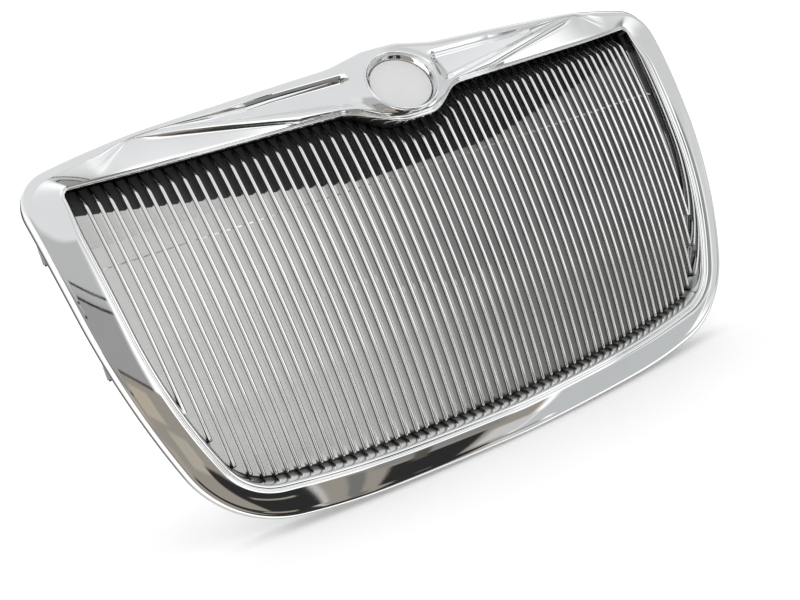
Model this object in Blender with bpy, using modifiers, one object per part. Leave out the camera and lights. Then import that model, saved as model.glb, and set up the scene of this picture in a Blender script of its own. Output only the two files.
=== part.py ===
"""Front grille for a large saloon car.

A chromed surround carries a winged badge pod.  A one-piece insert of vertical bars sits
behind it, clamped by a black rear carrier that is screwed to bosses inside the surround.
Push rivets in the carrier's top tabs, spring clips on its side ears and rubber bushes on
its lower pegs hold the grille to the car.

Units are metres.  +X is to the right as one faces the grille, -Y is forward and +Z is up.
Places are worked out from the base surface that every layer of the grille follows, whose
own origin is on the car's centreline at mid height of the bar field.  At the end the whole
grille is moved so that the centre of its bounding box is the origin.
"""
import math

import bmesh
import bpy
from mathutils import Matrix, Vector

# ---------------------------------------------------------------- driving dimensions

# Base surface: y = SWEEP x^2 - SWEEP_EASE x^4 + LEAN z + BELLY z^2
SWEEP = 0.42
SWEEP_EASE = 0.15
LEAN = 0.22
BELLY = 0.636

# Half outlines, clockwise from the top centre: (x, z, corner radius).
# Both have the same number of corners, so that stations on one face those on the other.
OPENING = [
    (0.0000, 0.1185, 0.0),
    (0.0240, 0.1185, 0.050),
    (0.0710, 0.1465, 0.050),
    (0.3025, 0.1519, 0.962),
    (0.3905, 0.1562, 0.006),
    (0.3701, -0.0852, 0.550),
    (0.3230, -0.2000, 0.057),
    (0.2032, -0.2145, 1.500),
    (0.0000, -0.2193, 0.0),
]
OUTER = [
    (0.0000, 0.2140, 0.0),
    (0.0220, 0.2140, 0.060),
    (0.0700, 0.2045, 0.120),
    (0.3340, 0.1953, 0.939),
    (0.4425, 0.1760, 0.044),
    (0.4167, -0.0683, 0.880),
    (0.3591, -0.2392, 0.126),
    (0.2283, -0.2581, 0.850),
    (0.0000, -0.2619, 0.0),
]
# Straight steps before each corner, and arc steps round it.
LINE_STEPS = [1, 1, 4, 2, 3, 4, 2, 3]
ARC_STEPS = [2, 2, 2, 5, 3, 5, 4]

WALL = 0.003                 # moulded wall thickness
EDGE = 0.000001              # picks the outer edge itself when counting back from it
LIP_WIDTH = 0.0077           # bead round the opening
LIP_EDGE_RISE = 0.003        # bead's inner edge, in front of the base surface
LIP_RISE = 0.0092            # bead's crest
GROOVE_RISE = 0.0072         # groove between the bead and the face
FACE_RISE = 0.0085           # the surround's face in front of the base surface
ROLLOVER_WIDTH = 0.011       # where the face starts to roll over, from the outer outline
ROLLOVER_EDGE = 0.0027       # its last station before the outline
RETURN_DEPTH = 0.0212        # how far the opening's return wall goes back
FLANGE_DEPTH = 0.036         # how far the outer flange goes back
WING_RISE = 0.007
WING_TIP_X = 0.312

BAR_COUNT = 60
BAR_PITCH = 0.01279
BAR_FAN = 0.173              # the bars spread by this fraction for each metre upward
BAR_NOSE = 0.0042            # bar width at the front
BAR_TAIL = 0.0026            # bar width at the back
BAR_FRONT = 0.006            # offsets behind the base surface
BAR_BACK = 0.026
BAR_KNEE_TOP = 0.020         # how far below the opening's edge each bar starts to bend back
BAR_KNEE_BOTTOM = 0.009
BAR_CLEAR = 0.0012           # bar to return wall
INSERT_FLANGE = (0.0230, 0.0265)
INSERT_FLANGE_WIDTH = 0.012
RIB_Z = 0.065                # the rib that ties the bars together behind
RIB_TALL = 0.004

CARRIER = (0.0270, 0.0300)
CARRIER_INSET = 0.007
APRON = (0.0273, 0.0298)     # closing panel that hangs behind the tops of the bars
APRON_HALF_WIDTH = 0.395
APRON_LOWEST_Z = 0.0715
APRON_EDGE_Z = 0.055         # its lower edge rises outward from this height
APRON_EDGE_RISE = 0.19
APRON_LAP = 0.006            # overlap with the carrier's frame

BADGE_Z = 0.168
BADGE_TILT = math.radians(33)
POD_RISE = 0.022             # pod rim in front of the base surface
POD_RADIUS = 0.0480
POD_SKIRT_RADIUS = 0.0445    # the pod's rear wall, inside the surround
POD_DEPTH = 0.026
RECESS_RADIUS = 0.0442
RECESS_DEPTH = 0.0125
DISC_RADIUS = 0.0370
DISC_THICK = 0.003
PAD_THICK = 0.0012
STUD_X = 0.022
STUD_RADIUS = 0.0020

GAP = 0.0003
SCREW_SEAT = 0.0014          # under each screw head, where the carrier curves up to meet it
SCREW_SHANK = 0.0019
SCREW_HEAD = 0.0040
SCREW_HEAD_TALL = 0.0024
SCREW_LENGTH = 0.014
BOSS_RADIUS = 0.0050
BOSS_ROOT = 0.0024           # where a boss starts, inside the face's wall
PILOT_RADIUS = 0.0023
SCREWS = {
    "top_inner": (0.105, 0.1815),
    "top_middle": (0.215, 0.1815),
    "top_outer": (0.335, 0.1780),
    "side_upper": (0.4060, 0.0600),
    "side_lower": (0.3855, -0.1000),
    "bottom_outer": (0.235, -0.2345),
    "bottom_inner": (0.085, -0.2385),
}

TAB_X = (0.100, 0.300)
TAB_WIDTH = 0.034
TAB_REACH = 0.066            # rear end of a top tab behind the base surface
TAB_DROP = 0.014             # tab's top face below the outer outline
TAB_HOLE_BACK = 0.053
TAB_HOLE = 0.0042
RIVET_SHANK = 0.0038
RIVET_BORE = 0.0021
RIVET_HEAD = 0.0090
RIVET_HEAD_TALL = 0.0020
RIVET_LENGTH = 0.014
PIN_RADIUS = 0.0018
PIN_HEAD = 0.0050
PIN_HEAD_TALL = 0.0015
PIN_LENGTH = 0.013

EAR_HEIGHTS = {"upper": 0.099, "lower": -0.039}
EAR_TALL = 0.026
EAR_OUT = -0.005             # ear beyond the outer outline; it stops short of it
EAR_BACK = (0.0412, 0.0437)
CLIP_SHEET = 0.0008
CLIP_REACH = 0.0082          # where the clip's front leg starts, inside the outer outline

PEG_X = 0.150
PEG_Z = -0.2350
PEG_RADIUS = 0.0045
PEG_BACK = 0.052
BUSH_RADIUS = 0.0085


# ---------------------------------------------------------------- surfaces and outlines

def base_y(x, z):
    return SWEEP * x * x - SWEEP_EASE * x ** 4 + LEAN * z + BELLY * z * z


def rear_normal(x, z):
    slope_x = 2 * SWEEP * x - 4 * SWEEP_EASE * x ** 3
    slope_z = LEAN + 2 * BELLY * z
    return Vector((-slope_x, 1.0, -slope_z)).normalized()


def surface_frame(x, z, back):
    """A frame on the base surface, 'back' behind it, with local +Z pointing to the rear."""
    normal = rear_normal(x, z)
    rotation = Vector((0, 0, 1)).rotation_difference(normal).to_matrix().to_4x4()
    return Matrix.Translation((x, base_y(x, z) + back, z)) @ rotation


def fillet(before, corner, after, radius, steps):
    """Points on the arc that rounds 'corner'."""
    to_before = (before - corner).normalized()
    to_after = (after - corner).normalized()
    half = to_before.angle(to_after) / 2
    bisector = (to_before + to_after).normalized()
    centre = corner + bisector * radius / math.sin(half)
    start = corner + to_before * radius / math.tan(half) - centre
    turn = start.angle_signed(corner + to_after * radius / math.tan(half) - centre)
    points = []
    for step in range(steps + 1):
        spin = Matrix.Rotation(-turn * step / steps, 2)
        points.append(centre + spin @ start)
    return points


def half_path(corners):
    """The half outline as points, with the same count for every outline of this grille."""
    flat = [Vector((x, z)) for x, z, _ in corners]
    pieces = [[flat[0]]]
    for index in range(1, len(corners) - 1):
        pieces.append(fillet(flat[index - 1], flat[index], flat[index + 1],
                             corners[index][2], ARC_STEPS[index - 1]))
    pieces.append([flat[-1]])
    points = [flat[0]]
    for index, steps in enumerate(LINE_STEPS):
        start = points[-1]
        end = pieces[index + 1][0]
        for step in range(1, steps + 1):
            points.append(start.lerp(end, step / steps))
        points.extend(pieces[index + 1][1:])
    return points


def full_path(corners):
    half = half_path(corners)
    mirrored = [Vector((-p.x, p.y)) for p in reversed(half[1:-1])]
    return half + mirrored


def across(inner, outer, distance):
    """The point at 'distance' from the inner edge; negative counts back from the outer edge."""
    span = outer - inner
    if distance is None:
        return inner + span / 2
    if distance < 0:
        return outer + span.normalized() * distance
    return inner + span.normalized() * distance


def on_layer(point, back):
    return Vector((point.x, base_y(point.x, point.y) + back, point.y))


# ---------------------------------------------------------------- object helpers

def clear_scene():
    for item in list(bpy.data.objects):
        bpy.data.objects.remove(item, do_unlink=True)


def make_collection(name):
    collection = bpy.data.collections.new(name)
    bpy.context.scene.collection.children.link(collection)
    return collection


def make_material(name, colour, roughness, metallic):
    material = bpy.data.materials.new(name)
    material.use_nodes = True
    shader = material.node_tree.nodes["Principled BSDF"]
    shader.inputs["Base Color"].default_value = (*colour, 1.0)
    shader.inputs["Roughness"].default_value = roughness
    shader.inputs["Metallic"].default_value = metallic
    material.diffuse_color = (*colour, 1.0)
    return material


def object_from_bmesh(name, mesh_data, material=None, cutter=False):
    bmesh.ops.recalc_face_normals(mesh_data, faces=mesh_data.faces)
    mesh = bpy.data.meshes.new(name)
    mesh_data.to_mesh(mesh)
    mesh_data.free()
    item = bpy.data.objects.new(name, mesh)
    if cutter:
        CUTTERS.objects.link(item)
        item.hide_render = True
        item.display_type = "WIRE"
    else:
        PARTS.objects.link(item)
        mesh.materials.append(material)
    return item


def add_boolean(item, other, operation):
    modifier = item.modifiers.new(f"{operation.lower()}_{other.name}", "BOOLEAN")
    modifier.operation = operation
    modifier.solver = "EXACT"
    modifier.object = other


def shade_round(item):
    item.data.shade_smooth()
    item.data.set_sharp_from_angle(angle=math.radians(35))


def add_loft(mesh_data, sections, closed_path):
    """Join equal closed sections with quads; cap the ends unless the path closes on itself."""
    rings = [[mesh_data.verts.new(point) for point in section] for section in sections]
    count = len(rings[0])
    pairs = list(zip(rings, rings[1:]))
    if closed_path:
        pairs.append((rings[-1], rings[0]))
    for ring, following in pairs:
        for k in range(count):
            after = (k + 1) % count
            mesh_data.faces.new((ring[k], ring[after], following[after], following[k]))
    if not closed_path:
        mesh_data.faces.new(rings[0])
        mesh_data.faces.new(rings[-1])


def add_cylinder(mesh_data, frame, radius, low, high, segments=12):
    """A cylinder along the frame's local Z, from 'low' to 'high'."""
    place = frame @ Matrix.Translation((0, 0, (low + high) / 2))
    bmesh.ops.create_cone(mesh_data, cap_ends=True, segments=segments, radius1=radius,
                          radius2=radius, depth=high - low, matrix=place)


def add_turned(mesh_data, frame, profile, segments):
    """A solid of revolution about the frame's local Z from (radius, height) stations."""
    sections = []
    for radius, height in profile:
        ring = []
        for step in range(segments):
            angle = 2 * math.pi * step / segments
            ring.append(frame @ Vector((radius * math.cos(angle), radius * math.sin(angle), height)))
        sections.append(ring)
    add_loft(mesh_data, sections, closed_path=False)


def add_box(mesh_data, low, high):
    low = Vector(low)
    high = Vector(high)
    size = high - low
    place = Matrix.Translation((low + high) / 2) @ Matrix.Diagonal((*size, 1.0))
    bmesh.ops.create_cube(mesh_data, size=1.0, matrix=place)


def turned(name, profile, frame, material, segments=24):
    """A body of revolution about the frame's local Z; the profile is (radius, height) points,
    down the outer side first, and closes on itself or on the axis."""
    mesh_data = bmesh.new()
    points = [mesh_data.verts.new((radius, 0, height)) for radius, height in profile]
    on_axis = profile[0][0] == 0 and profile[-1][0] == 0
    for first, second in zip(points, points[1:]):
        mesh_data.edges.new((first, second))
    if not on_axis:
        mesh_data.edges.new((points[-1], points[0]))
    mesh = bpy.data.meshes.new(name)
    mesh_data.to_mesh(mesh)
    mesh_data.free()
    item = bpy.data.objects.new(name, mesh)
    item.matrix_world = frame
    screw = item.modifiers.new("turn", "SCREW")
    screw.steps = segments
    screw.render_steps = segments
    screw.use_merge_vertices = True
    screw.merge_threshold = 0.00001
    PARTS.objects.link(item)
    mesh.materials.append(material)
    return item


# ---------------------------------------------------------------- surround

def wing_height(x):
    reach = max(0.0, 1.0 - abs(x) / WING_TIP_X)
    return WING_RISE * min(1.0, 1.6 * reach)


def surround_section(inner, outer):
    """Outer skin from the return wall's rear edge, over the face, to the flange's rear edge."""
    on_top = min(1.0, max(0.0, (inner.y - 0.10) / 0.02))
    rise = wing_height(inner.x) * on_top
    steps = [
        (0.0, RETURN_DEPTH),
        (0.0, -LIP_EDGE_RISE),
        (LIP_WIDTH * 0.4, -LIP_RISE),
        (LIP_WIDTH, -GROOVE_RISE),
        (LIP_WIDTH * 1.4, -FACE_RISE - rise * 0.4),
        (None, -FACE_RISE - rise),
        (-ROLLOVER_WIDTH, -FACE_RISE - rise),
        (-ROLLOVER_EDGE, -FACE_RISE / 2 - rise / 2),
        (-EDGE, FACE_RISE / 2),
        (-EDGE, FLANGE_DEPTH),
    ]
    return [on_layer(across(inner, outer, distance), back) for distance, back in steps]


def boss_frames():
    """Where each screw goes: its frame, and how far in front of the base surface the face is."""
    for x, z in SCREWS.values():
        rise = FACE_RISE + (wing_height(x) if z > 0.1 else 0.0)
        for side in (-1, 1):
            yield surface_frame(side * x, z, 0), rise


def badge_frame():
    """On the pod's rim plane, with local +Z pointing out of the pod."""
    centre = Vector((0, base_y(0, BADGE_Z) - POD_RISE, BADGE_Z))
    return Matrix.Translation(centre) @ Matrix.Rotation(math.pi / 2 - BADGE_TILT, 4, "X")


def build_surround(chrome):
    inner = full_path(OPENING)
    outer = full_path(OUTER)
    mesh_data = bmesh.new()
    rows = []
    for inner_point, outer_point in zip(inner, outer):
        section = surround_section(inner_point, outer_point)
        rows.append([mesh_data.verts.new(point) for point in section])
    for row, following in zip(rows, rows[1:] + rows[:1]):
        for k in range(len(row) - 1):
            mesh_data.faces.new((row[k], row[k + 1], following[k + 1], following[k]))
    surround = object_from_bmesh("surround_shell", mesh_data, chrome)
    front = min(surround.data.polygons, key=lambda face: face.center.y)
    solidify = surround.modifiers.new("wall", "SOLIDIFY")
    solidify.thickness = WALL
    solidify.offset = -1.0 if front.normal.y < 0 else 1.0
    solidify.use_even_offset = False

    frame = badge_frame()
    bore = bmesh.new()
    add_cylinder(bore, frame, POD_SKIRT_RADIUS - 0.0015, -0.05, 0.02, 32)
    add_boolean(surround, object_from_bmesh("pod_bore", bore, cutter=True), "DIFFERENCE")

    cup = bmesh.new()
    rim_back = -RECESS_DEPTH - WALL
    add_turned(cup, frame, [
        (POD_RADIUS - 0.001, 0.0),
        (POD_RADIUS, -0.001),
        (POD_RADIUS, rim_back),
        (POD_SKIRT_RADIUS, rim_back - 0.002),
        (POD_SKIRT_RADIUS, -POD_DEPTH),
    ], 32)
    cup_object = object_from_bmesh("pod_cup", cup, cutter=True)
    recess = bmesh.new()
    add_cylinder(recess, frame, RECESS_RADIUS, -RECESS_DEPTH, 0.01, 32)
    add_cylinder(recess, frame, POD_SKIRT_RADIUS - WALL, -0.05, rim_back, 32)
    stud_holes = bmesh.new()
    for side in (-1, 1):
        hole = frame @ Matrix.Translation((side * STUD_X, 0, 0))
        add_cylinder(stud_holes, hole, STUD_RADIUS + GAP, -RECESS_DEPTH - 0.01, -0.005, 12)
    add_boolean(surround, cup_object, "UNION")

    bosses = bmesh.new()
    pilots = bmesh.new()
    for place, rise in boss_frames():
        end = CARRIER[0] * place.to_3x3().col[2].y - GAP
        add_cylinder(bosses, place, BOSS_RADIUS, BOSS_ROOT - rise, end)
        add_cylinder(pilots, place, PILOT_RADIUS, end - SCREW_LENGTH, end + 0.01, 8)
    add_boolean(surround, object_from_bmesh("surround_bosses", bosses, cutter=True), "UNION")
    add_boolean(surround, object_from_bmesh("pod_recess", recess, cutter=True), "DIFFERENCE")
    add_boolean(surround, object_from_bmesh("stud_holes", stud_holes, cutter=True), "DIFFERENCE")
    add_boolean(surround, object_from_bmesh("boss_pilots", pilots, cutter=True), "DIFFERENCE")
    return surround


# ---------------------------------------------------------------- bar insert

def inside_opening(x, z, outline, margin):
    """True where the point is inside the opening with this margin to its edge."""
    crossings = 0
    for first, second in zip(outline, outline[1:] + outline[:1]):
        if (first.y > z) != (second.y > z):
            cross_x = first.x + (z - first.y) / (second.y - first.y) * (second.x - first.x)
            crossings += cross_x > x
        edge = second - first
        along = max(0.0, min(1.0, (Vector((x, z)) - first).dot(edge) / edge.length_squared))
        if (Vector((x, z)) - first - edge * along).length < margin:
            return False
    return crossings % 2 == 1


def bar_span(nominal_x, outline):
    """Lowest and highest z at which the bar clears the opening's edge."""
    margin = BAR_NOSE / 2 + BAR_CLEAR
    step = 0.0005
    rows = []
    for index in range(-450, 340):
        z = index * step
        x = nominal_x * (1 + BAR_FAN * z)
        if inside_opening(x, z, outline, margin):
            rows.append(z)
    return (min(rows) - margin, max(rows) + margin) if len(rows) > 60 else None


def bar_sections(nominal_x, low, high):
    stations = [
        (low - 0.004, INSERT_FLANGE[0] + 0.0006),
        (low + BAR_CLEAR, INSERT_FLANGE[0] - GAP),
        (low + BAR_KNEE_BOTTOM, BAR_FRONT),
        (low + 0.30 * (high - low), BAR_FRONT),
        (low + 0.60 * (high - low), BAR_FRONT),
        (low + 0.78 * (high - low), BAR_FRONT),
        (high - BAR_KNEE_TOP, BAR_FRONT),
        (high - BAR_CLEAR, INSERT_FLANGE[0] - GAP),
        (high + 0.004, INSERT_FLANGE[0] + 0.0006),
    ]
    sections = []
    for z, front in stations:
        x = nominal_x * (1 + BAR_FAN * z)
        y = base_y(x, z)
        sections.append([
            Vector((x - BAR_NOSE / 2, y + front, z)),
            Vector((x + BAR_NOSE / 2, y + front, z)),
            Vector((x + BAR_TAIL / 2, y + BAR_BACK, z)),
            Vector((x - BAR_TAIL / 2, y + BAR_BACK, z)),
        ])
    return sections


def rib_sections(z, half_length):
    count = 16
    sections = []
    for index in range(count + 1):
        x = half_length * (2 * index / count - 1)
        y = base_y(x, z)
        sections.append([
            Vector((x, y + BAR_BACK - 0.003, z - RIB_TALL / 2)),
            Vector((x, y + BAR_BACK - 0.003, z + RIB_TALL / 2)),
            Vector((x, y + BAR_BACK + 0.003, z + RIB_TALL / 2)),
            Vector((x, y + BAR_BACK + 0.003, z - RIB_TALL / 2)),
        ])
    return sections


def build_insert(chrome):
    inner = full_path(OPENING)
    outer = full_path(OUTER)
    flange = bmesh.new()
    sections = []
    for inner_point, outer_point in zip(inner, outer):
        near = across(inner_point, outer_point, 0.0) - (outer_point - inner_point).normalized() * 0.001
        far = across(inner_point, outer_point, INSERT_FLANGE_WIDTH)
        sections.append([
            on_layer(near, INSERT_FLANGE[0]),
            on_layer(far, INSERT_FLANGE[0]),
            on_layer(far, INSERT_FLANGE[1]),
            on_layer(near, INSERT_FLANGE[1]),
        ])
    add_loft(flange, sections, closed_path=True)
    insert = object_from_bmesh("bar_insert", flange, chrome)

    bars = bmesh.new()
    for index in range(BAR_COUNT):
        nominal_x = (index - (BAR_COUNT - 1) / 2) * BAR_PITCH
        span = bar_span(nominal_x, inner)
        if span:
            add_loft(bars, bar_sections(nominal_x, *span), closed_path=False)
    add_boolean(insert, object_from_bmesh("bar_set", bars, cutter=True), "UNION")

    side = max(point.x for point in inner)
    while not inside_opening(side, RIB_Z, inner, 0.0):
        side -= 0.0005
    rib = bmesh.new()
    add_loft(rib, rib_sections(RIB_Z, side + 0.0015), closed_path=False)
    add_boolean(insert, object_from_bmesh("cross_rib", rib, cutter=True), "UNION")
    return insert


# ---------------------------------------------------------------- rear carrier

def top_edge_z(corners, x):
    """Height of an outline's top edge at x."""
    points = half_path(corners)
    for first, second in zip(points, points[1:]):
        if first.x <= x <= second.x:
            share = (x - first.x) / max(second.x - first.x, 1e-9)
            return first.y + share * (second.y - first.y)
    return points[0].y


def outer_edge_x(z):
    """Half width of the outer outline at height z."""
    points = half_path(OUTER)
    for first, second in zip(points, points[1:]):
        if first.y >= z >= second.y and first.x > 0.3:
            share = (first.y - z) / max(first.y - second.y, 1e-9)
            return first.x + share * (second.x - first.x)
    return points[0].x


def tab_places():
    """Side name, x and the height of the top face of each top tab."""
    for label, x in zip(("inner", "outer"), TAB_X):
        for side_name, side in (("left", -1), ("right", 1)):
            yield f"{label}_{side_name}", side * x, top_edge_z(OUTER, x) - TAB_DROP


def ear_places():
    for label, z in EAR_HEIGHTS.items():
        for side_name, side in (("left", -1), ("right", 1)):
            yield f"{label}_{side_name}", side, z


def apron_sections():
    columns = 24
    rows = 4
    opening_corner_x = 0.384
    sections = []
    for column in range(columns + 1):
        x = APRON_HALF_WIDTH * (2 * column / columns - 1)
        low = max(APRON_LOWEST_Z, APRON_EDGE_Z + APRON_EDGE_RISE * abs(x))
        high = top_edge_z(OPENING, min(abs(x), opening_corner_x)) + APRON_LAP
        heights = [low + (high - low) * row / rows for row in range(rows + 1)]
        front = [Vector((x, base_y(x, z) + APRON[0], z)) for z in heights]
        back = [Vector((x, base_y(x, z) + APRON[1], z)) for z in reversed(heights)]
        sections.append(front + back)
    return sections


def build_carrier(black):
    inner = full_path(OPENING)
    outer = full_path(OUTER)
    plate = bmesh.new()
    sections = []
    for inner_point, outer_point in zip(inner, outer):
        near = across(inner_point, outer_point, 0.003)
        far = across(inner_point, outer_point, -CARRIER_INSET)
        sections.append([
            on_layer(near, CARRIER[0]),
            on_layer(far, CARRIER[0]),
            on_layer(far, CARRIER[1]),
            on_layer(near, CARRIER[1]),
        ])
    add_loft(plate, sections, closed_path=True)
    carrier = object_from_bmesh("rear_carrier", plate, black)
    apron = bmesh.new()
    add_loft(apron, apron_sections(), closed_path=False)
    add_boolean(carrier, object_from_bmesh("carrier_apron", apron, cutter=True), "UNION")

    extras = bmesh.new()
    holes = bmesh.new()
    for _, x, top in tab_places():
        y = base_y(x, top)
        half = TAB_WIDTH / 2
        add_box(extras, (x - half, y + CARRIER[0] + 0.0035, top - WALL), (x + half, y + TAB_REACH, top))
        for edge in (-1, 1):
            rib_x = x + edge * (half - 0.0025)
            add_box(extras, (rib_x - 0.001, y + CARRIER[0] + 0.002, top - 0.012),
                    (rib_x + 0.001, y + 0.045, top - WALL / 2))
        hole = Matrix.Translation((x, y + TAB_HOLE_BACK, top))
        add_cylinder(holes, hole, TAB_HOLE, -0.01, 0.01, 16)
    for _, side, z in ear_places():
        edge = outer_edge_x(z)
        y = base_y(edge, z)
        post = sorted((side * (edge - 0.017), side * (edge - 0.0085)))
        blade = sorted((side * (edge - 0.017), side * (edge + EAR_OUT)))
        half = EAR_TALL / 2
        add_box(extras, (post[0], y + CARRIER[0] - 0.0015, z - half), (post[1], y + EAR_BACK[1] - 0.001, z + half))
        add_box(extras, (blade[0], y + EAR_BACK[0], z - half), (blade[1], y + EAR_BACK[1], z + half))
    for side in (-1, 1):
        peg = Matrix.Translation((side * PEG_X, base_y(PEG_X, PEG_Z), PEG_Z)) @ Matrix.Rotation(-math.pi / 2, 4, "X")
        add_cylinder(extras, peg, PEG_RADIUS, CARRIER[1] - 0.001, PEG_BACK, 16)
    for place, _ in boss_frames():
        add_cylinder(holes, place, PILOT_RADIUS + GAP, 0.015, 0.045, 10)
    # A post and its blade overlap each other, so this union also joins them to one another.
    add_boolean(carrier, object_from_bmesh("carrier_extras", extras, cutter=True), "UNION")
    carrier.modifiers[-1].use_self = True
    add_boolean(carrier, object_from_bmesh("carrier_holes", holes, cutter=True), "DIFFERENCE")
    return carrier


# ---------------------------------------------------------------- badge

def build_badge(chrome, plate, foam, steel):
    frame = badge_frame()
    floor = -RECESS_DEPTH
    pad_top = floor + GAP + PAD_THICK
    disc_back = pad_top + GAP
    disc_front = disc_back + DISC_THICK

    pad = bmesh.new()
    add_cylinder(pad, frame, DISC_RADIUS - 0.003, floor + GAP, pad_top, 32)
    pad_object = object_from_bmesh("badge_foam_pad", pad, foam)
    pad_holes = bmesh.new()

    disc = turned("badge_disc", [
        (0, disc_front + 0.0006),
        (DISC_RADIUS * 0.6, disc_front + 0.0004),
        (DISC_RADIUS - 0.001, disc_front),
        (DISC_RADIUS, disc_front - 0.001),
        (DISC_RADIUS, disc_back),
        (0, disc_back),
    ], frame, plate, 32)
    studs = bmesh.new()
    for side in (-1, 1):
        place = frame @ Matrix.Translation((side * STUD_X, 0, 0))
        add_cylinder(studs, place, STUD_RADIUS, floor - WALL - 0.0075, disc_back + 0.001, 12)
        add_cylinder(pad_holes, place, STUD_RADIUS + GAP, floor - 0.001, pad_top + 0.001, 12)
    add_boolean(disc, object_from_bmesh("badge_studs", studs, cutter=True), "UNION")
    add_boolean(pad_object, object_from_bmesh("badge_pad_holes", pad_holes, cutter=True), "DIFFERENCE")

    bezel_outer = RECESS_RADIUS - 0.0006
    turned("badge_bezel", [
        (bezel_outer, -0.0010),
        (bezel_outer, floor + GAP),
        (DISC_RADIUS + GAP * 2, floor + GAP),
        (DISC_RADIUS + GAP * 2, disc_back),
        (DISC_RADIUS + GAP * 2, disc_front + 0.0010),
        (bezel_outer - 0.0016, -0.0004),
    ], frame, chrome, 32)

    for side_name, side in (("left", -1), ("right", 1)):
        place = frame @ Matrix.Translation((side * STUD_X, 0, floor - WALL))
        turned(f"badge_push_nut_{side_name}", [
            (0.0050, -GAP),
            (0.0050, -0.0010),
            (0.0034, -0.0022),
            (STUD_RADIUS + GAP, -0.0022),
            (STUD_RADIUS + GAP, -GAP),
        ], place, steel, 12)


# ---------------------------------------------------------------- fixings

def build_screws(steel):
    for label, (x, z) in SCREWS.items():
        for side_name, side in (("left", -1), ("right", 1)):
            place = surface_frame(side * x, z, 0)
            seat = CARRIER[1] * place.to_3x3().col[2].y + SCREW_SEAT
            turned(f"carrier_screw_{label}_{side_name}", [
                (0, seat + SCREW_HEAD_TALL),
                (SCREW_HEAD * 0.7, seat + SCREW_HEAD_TALL),
                (SCREW_HEAD, seat + SCREW_HEAD_TALL * 0.4),
                (SCREW_HEAD, seat),
                (SCREW_SHANK, seat),
                (SCREW_SHANK, seat - SCREW_LENGTH + 0.002),
                (0, seat - SCREW_LENGTH),
            ], place, steel, 8)


def build_push_rivets(nylon, dark_nylon):
    for label, x, top in tab_places():
        place = Matrix.Translation((x, base_y(x, top) + TAB_HOLE_BACK, top + GAP))
        turned(f"push_rivet_body_{label}", [
            (RIVET_HEAD, RIVET_HEAD_TALL * 0.5),
            (RIVET_HEAD, 0.0),
            (RIVET_SHANK, 0.0),
            (RIVET_SHANK, -RIVET_LENGTH + 0.003),
            (RIVET_SHANK - 0.0012, -RIVET_LENGTH),
            (RIVET_BORE, -RIVET_LENGTH),
            (RIVET_BORE, RIVET_HEAD_TALL),
            (RIVET_HEAD - 0.002, RIVET_HEAD_TALL),
        ], place, nylon, 14)
        seat = RIVET_HEAD_TALL + GAP
        turned(f"push_rivet_pin_{label}", [
            (0, seat + PIN_HEAD_TALL),
            (PIN_HEAD - 0.0008, seat + PIN_HEAD_TALL),
            (PIN_HEAD, seat + PIN_HEAD_TALL * 0.5),
            (PIN_HEAD, seat),
            (PIN_RADIUS, seat),
            (PIN_RADIUS, seat - PIN_LENGTH + 0.002),
            (PIN_RADIUS * 0.4, seat - PIN_LENGTH),
            (0, seat - PIN_LENGTH),
        ], place, dark_nylon, 12)


def build_side_clips(steel):
    """A spring-steel U folded round each side ear, open towards the grille's middle."""
    for label, side, z in ear_places():
        edge = outer_edge_x(z)
        y = base_y(edge, z)
        start = edge - CLIP_REACH
        end = edge + EAR_OUT + GAP
        front = y + EAR_BACK[0] - GAP
        back = y + EAR_BACK[1] + GAP
        outline = [
            (start, front - CLIP_SHEET),
            (end + CLIP_SHEET, front - CLIP_SHEET),
            (end + CLIP_SHEET, back + CLIP_SHEET),
            (start - 0.004, back + CLIP_SHEET),
            (start - 0.004, back),
            (end, back),
            (end, front),
            (start, front),
        ]
        half = EAR_TALL / 2 - 0.002
        low = [Vector((side * px, py, z - half)) for px, py in outline]
        high = [Vector((side * px, py, z + half)) for px, py in outline]
        clip = bmesh.new()
        add_loft(clip, [low, high], closed_path=False)
        object_from_bmesh(f"side_spring_clip_{label}", clip, steel)


def build_bushes(rubber):
    for side_name, side in (("left", -1), ("right", 1)):
        place = (Matrix.Translation((side * PEG_X, base_y(PEG_X, PEG_Z), PEG_Z))
                 @ Matrix.Rotation(-math.pi / 2, 4, "X"))
        bore = PEG_RADIUS + GAP
        turned(f"lower_bush_{side_name}", [
            (bore, 0.0510),
            (BUSH_RADIUS, 0.0510),
            (BUSH_RADIUS, 0.0475),
            (BUSH_RADIUS - 0.002, 0.0475),
            (BUSH_RADIUS - 0.002, 0.0435),
            (BUSH_RADIUS, 0.0435),
            (BUSH_RADIUS, 0.0385),
            (bore, 0.0385),
        ], place, rubber, 14)


# ---------------------------------------------------------------- assembly

def centre_on_origin():
    """Move every part, by a parent empty, so that their bounding box is centred on the origin."""
    bpy.context.view_layer.update()
    depsgraph = bpy.context.evaluated_depsgraph_get()
    corners = []
    for item in PARTS.objects:
        evaluated = item.evaluated_get(depsgraph)
        corners.extend(evaluated.matrix_world @ vertex.co for vertex in evaluated.data.vertices)
    low = Vector([min(corner[axis] for corner in corners) for axis in range(3)])
    high = Vector([max(corner[axis] for corner in corners) for axis in range(3)])
    datum = bpy.data.objects.new("grille_datum", None)
    datum.location = -(low + high) / 2
    bpy.context.scene.collection.objects.link(datum)
    for item in list(PARTS.objects) + list(CUTTERS.objects):
        item.parent = datum


clear_scene()
PARTS = make_collection("front_grille")
CUTTERS = make_collection("cutters")

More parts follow.
